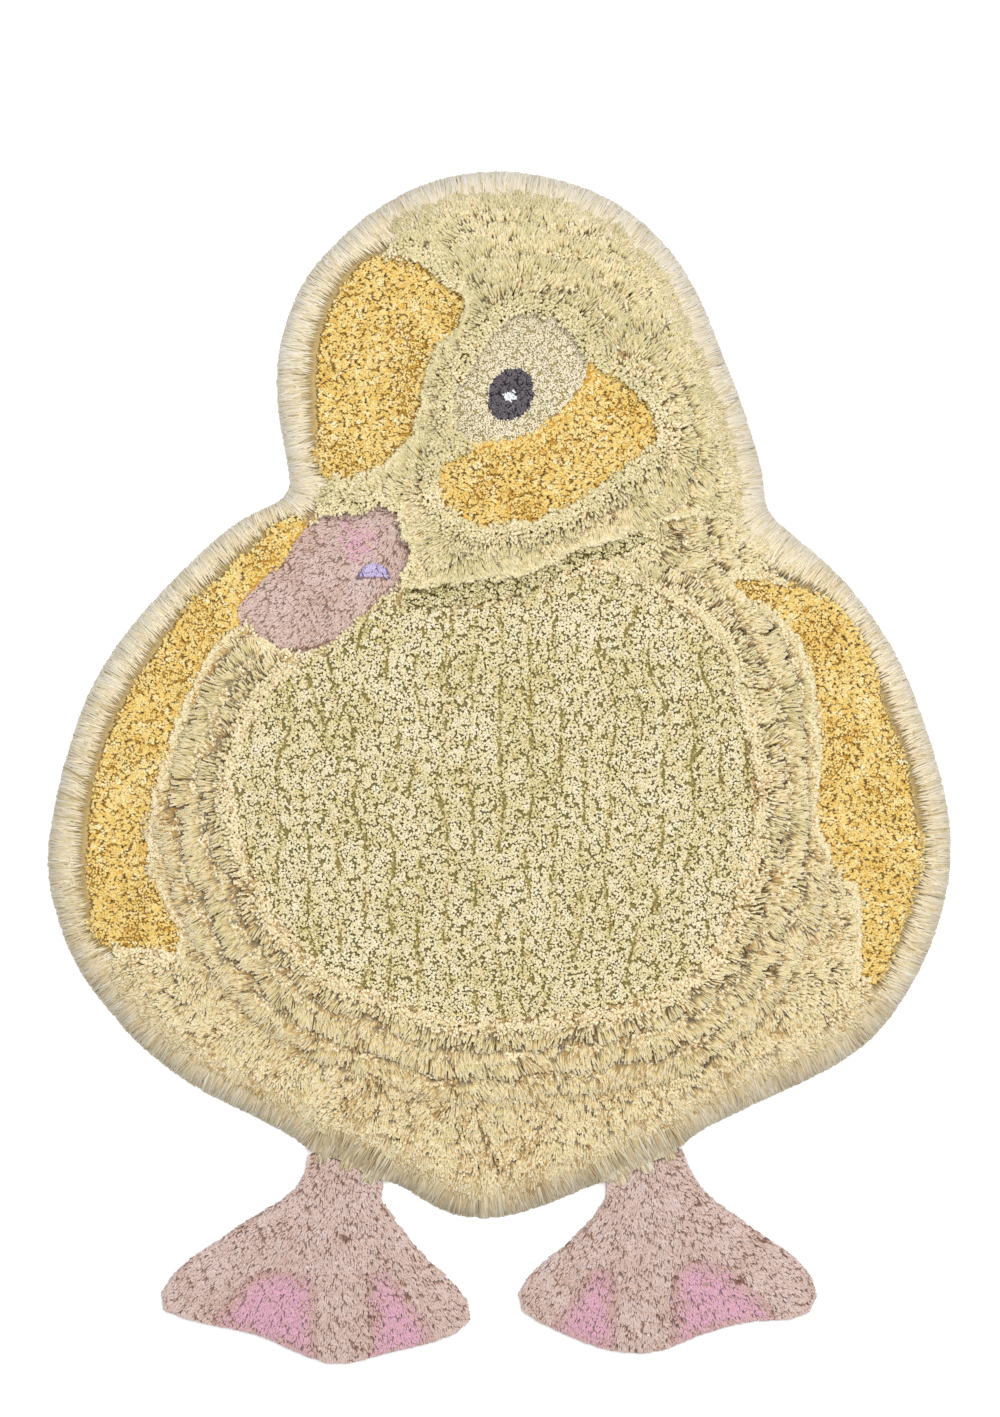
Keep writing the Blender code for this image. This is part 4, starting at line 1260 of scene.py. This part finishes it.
def flecks(places, start, seed, level):
    """How deep each place lies in a fleck. Flecks are drawn out away from the start."""
    away = places - np.array(start)
    length = np.linalg.norm(away, axis=1)
    across = np.arctan2(away[:, 1], away[:, 0]) * length
    drawn_out = zip(length / FLECK_LENGTH, across / FLECK_WIDTH)
    uneven = np.array([noise.noise((far, round_it, seed)) for far, round_it in drawn_out])
    return np.clip((uneven - level) / FLECK_EDGE, 0, 1)


def outward_from(places, middle):
    """The way out from a middle, at each place."""
    return unit(places - np.array(middle))


def grow_plush(name, node, places, thread, start, tint, brush=BRUSHED_OUT, fleck=1.0,
               level=FLECK_LEVEL, crease=0.0):
    """Short plush here, brushed away from the start and opened in flecks of painted shade."""
    near = np.maximum(flecks(places, start, 2, level) * fleck, crease)
    grow(
        name, node, PLUSH_RECIPE, places, thread, comb=outward_from(places, start) * brush,
        tint=tint - FLECK_SHADE * near, low=near * FLECK_DEPTH,
    )


def plush_places(*nodes):
    """Places for the strands of a plush field."""
    return scattered(inside_of(*nodes), PLUSH_RECIPE.pitch)


def cloudy(places):
    """A tint that is the same all over, but for soft clouds."""
    return 0.65 + 0.2 * speckle(places, 30 * MM, 12)


def web_tint(node, places):
    """Pink in a web's middle, fading towards the foot."""
    distance, _ = from_edge(edge_between(inside_of(node), ~inside_of(node)), places)
    return 0.45 + 0.45 * np.clip(distance / WEB_FADE, 0, 1) + 0.1 * speckle(places, 20 * MM, 13)


for side, ankle in ANKLES.items():
    foot = "foot_" + side
    places = plush_places(foot)
    grow_plush(foot + "_tufts", foot, places, plush_yarn, ankle, cloudy(places))
    for end in ("_outer", "_inner"):
        web = "web_" + side + end
        places = plush_places(web)
        grow_plush(web + "_tufts", web, places, web_yarn, ankle, web_tint(web, places))

# %% [markdown]
# The eye is the same plush, left as it was cut. Its flecks run straight up the rug, because they
# are drawn out away from a start that lies far below it. The chin lies in the shade of the head's
# long pile. Its short olive tufts are brushed up under it.

# %% Grow the plush of the eye and the chin
FAR_BELOW = (0, -3)
EYE_FLECK_LEVEL = 0.36
CHIN_BRUSH = -3 * MM  # towards the middle of the head
CHIN_SHADE = 14 * MM  # how far the head's shade reaches over the chin

places = plush_places("eye_patch")
grow_plush("eye_patch_tufts", "eye_patch", places, eye_yarn, FAR_BELOW, cloudy(places), brush=0,
           level=EYE_FLECK_LEVEL)
places = plush_places("pupil")
grow_plush("pupil_tufts", "pupil", places, pupil_yarn, FAR_BELOW, cloudy(places), brush=0, fleck=0.5)
places = plush_places("eye_glint")
grow_plush("glint_tufts", "eye_glint", places, white_yarn, FAR_BELOW, 1, brush=0, fleck=0)
places = plush_places("chin_band")
under_head, _ = from_edge(edge_between(inside_of("chin_band"), inside_of("head_shag")), places)
tint = 0.1 + 0.6 * np.clip(under_head / CHIN_SHADE, 0, 1) + luck.normal(0, 0.2, len(places))
grow_plush("chin_tufts", "chin_band", places, chin_yarn, HEAD_MIDDLE, tint, brush=CHIN_BRUSH)

# %% [markdown]
# The beak is brushed from the cheek towards its tip. A crease near the tip draws the lip, and a
# soft pink blush sits above the nostril. Mixing two yarns strand by strand gives the blush its
# soft edge.

# %% Grow the beak
BEAK_ROOT = (-90 * MM, 260 * MM)
LIP = [(-264.5, 147.5), (-243.5, 124.5), (-214.5, 120.5), (-184.5, 124.5), (-169.5, 132.5)]
LIP_WIDTH = 2.2 * MM
BLUSH = (-137 * MM, 228 * MM)
BLUSH_SIZE = 14 * MM
NOSTRIL = (-125.5 * MM, 189 * MM)
NOSTRIL_SIDE = 16.5 * MM  # half of its width
NOSTRIL_RISE = 16 * MM
FRAYED = 4 * MM  # how far the plush grows over the nostril's lower edge


def from_line(places, line):
    """How far each place is from a line through these corners, given in millimetres."""
    corners = np.array(line) * MM
    nearest = np.full(len(places), np.inf)
    for start, end in zip(corners[:-1], corners[1:]):
        way = end - start
        share = np.clip((places - start) @ way / (way @ way), 0, 1)
        nearest = np.minimum(nearest, np.linalg.norm(places - start - share[:, None] * way, axis=1))
    return nearest


def in_dome(places, middle, side, rise):
    """Where places lie in a dome: 0 at its middle, 1 at its curved edge, more outside."""
    away = places - np.array(middle)
    level = np.hypot(away[:, 0] / side, away[:, 1] / rise)
    return np.where(away[:, 1] < 0, 2, level)


places = plush_places("beak", "nostril")
dome = in_dome(places, NOSTRIL, NOSTRIL_SIDE, NOSTRIL_RISE)
frayed = places[:, 1] < NOSTRIL[1] + FRAYED
places = places[(dome > 0.95) | frayed]
lip = np.exp(-((from_line(places, LIP) / LIP_WIDTH) ** 2))
from_blush = np.linalg.norm(places - np.array(BLUSH), axis=1)
blushing = luck.uniform(size=len(places)) < 0.9 * np.exp(-((from_blush / BLUSH_SIZE) ** 2))
# painted shade: the lip's crease is darker
tint = cloudy(places) - 0.2 * lip
grow_plush("beak_tufts", "beak", places[~blushing], plush_yarn, BEAK_ROOT, tint[~blushing],
           crease=lip[~blushing])
grow_plush("beak_blush", "beak", places[blushing], web_yarn, BEAK_ROOT, 0.9, fleck=0.3)

# %% [markdown]
# The nostril is a small dome of satin stitches in lilac, a smooth thread laid side by side. Its
# curved edge is stitched darker, and its lower edge is lost in the pile. One bent sheet would have
# the outline but none of the threads.

# %% Stitch the nostril
STITCH_THICK = 0.9 * MM
STITCH_REACH = 3 * MM
STITCHED_EDGE = 0.84  # of the way from the dome's middle to its curved edge
STITCH_RECIPE = PLUSH_RECIPE._replace(
    pitch=1.5 * MM, tuft=20 * MM, root_thick=STITCH_THICK, tip_thick=STITCH_THICK, lean=0,
    stray=0.2 * MM, sink=0.1 * MM, tuft_sink=0, root_share=0.86, tint_spread=0.05, droop=0,
)
places = scattered(inside_of("beak", "nostril"), STITCH_RECIPE.pitch)
dome = in_dome(places, NOSTRIL, NOSTRIL_SIDE, NOSTRIL_RISE)
places, dome = places[dome <= 1], dome[dome <= 1]
outline = dome > STITCHED_EDGE
grow(
    "nostril_stitches", "nostril", STITCH_RECIPE, places, nostril_yarn, pattern=STITCH,
    comb=np.array((0, STITCH_REACH)) * ~outline[:, None], tint=np.where(outline, 0.05, 0.75),
)
print("triangles grown", sum(grown_triangles))

# %% [markdown]
# ## Canvas
#
# The base cloth is a plain-woven cotton canvas. It shows only from below and at a parted tuft, so
# its threads are drawn by the material, as two waves that cross.

# %% Weave the canvas
CANVAS_THREADS = 900.0  # per metre


def canvas_material():
    """Unbleached cotton in a plain weave."""
    material, shader = new_material("canvas_weave", roughness=0.9, specular=0.5)
    dye = Dye(material.node_tree)
    place = dye.node("ShaderNodeTexCoord", output=3)
    x = dye.node("ShaderNodeSeparateXYZ", (), {0: place}, output=0)
    y = Dye(dye.tree, x.socket.node.outputs[1])
    warp, weft = (dye.maths("SINE", way * (CANVAS_THREADS * math.pi)) for way in (x, y))
    weave = warp * weft
    slub = dye.node("ShaderNodeTexNoise", (), {"Vector": place, "Scale": 60.0, "Detail": 4.0})
    (0.82 + weave * 0.08 + (slub - 0.5) * 0.25).shaded(linear("E4DAC2")).colours(shader)
    weave.bumps(shader, 0.5, 0.4 * MM)
    return material


canvas_form = merged("base_cloth")
canvas_area = sum(face.calc_area() for face in canvas_form.faces if face.normal.z < -0.9)
canvas = made_of(canvas_form, "canvas", canvas_material())
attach(canvas, "root")
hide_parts("base_cloth")
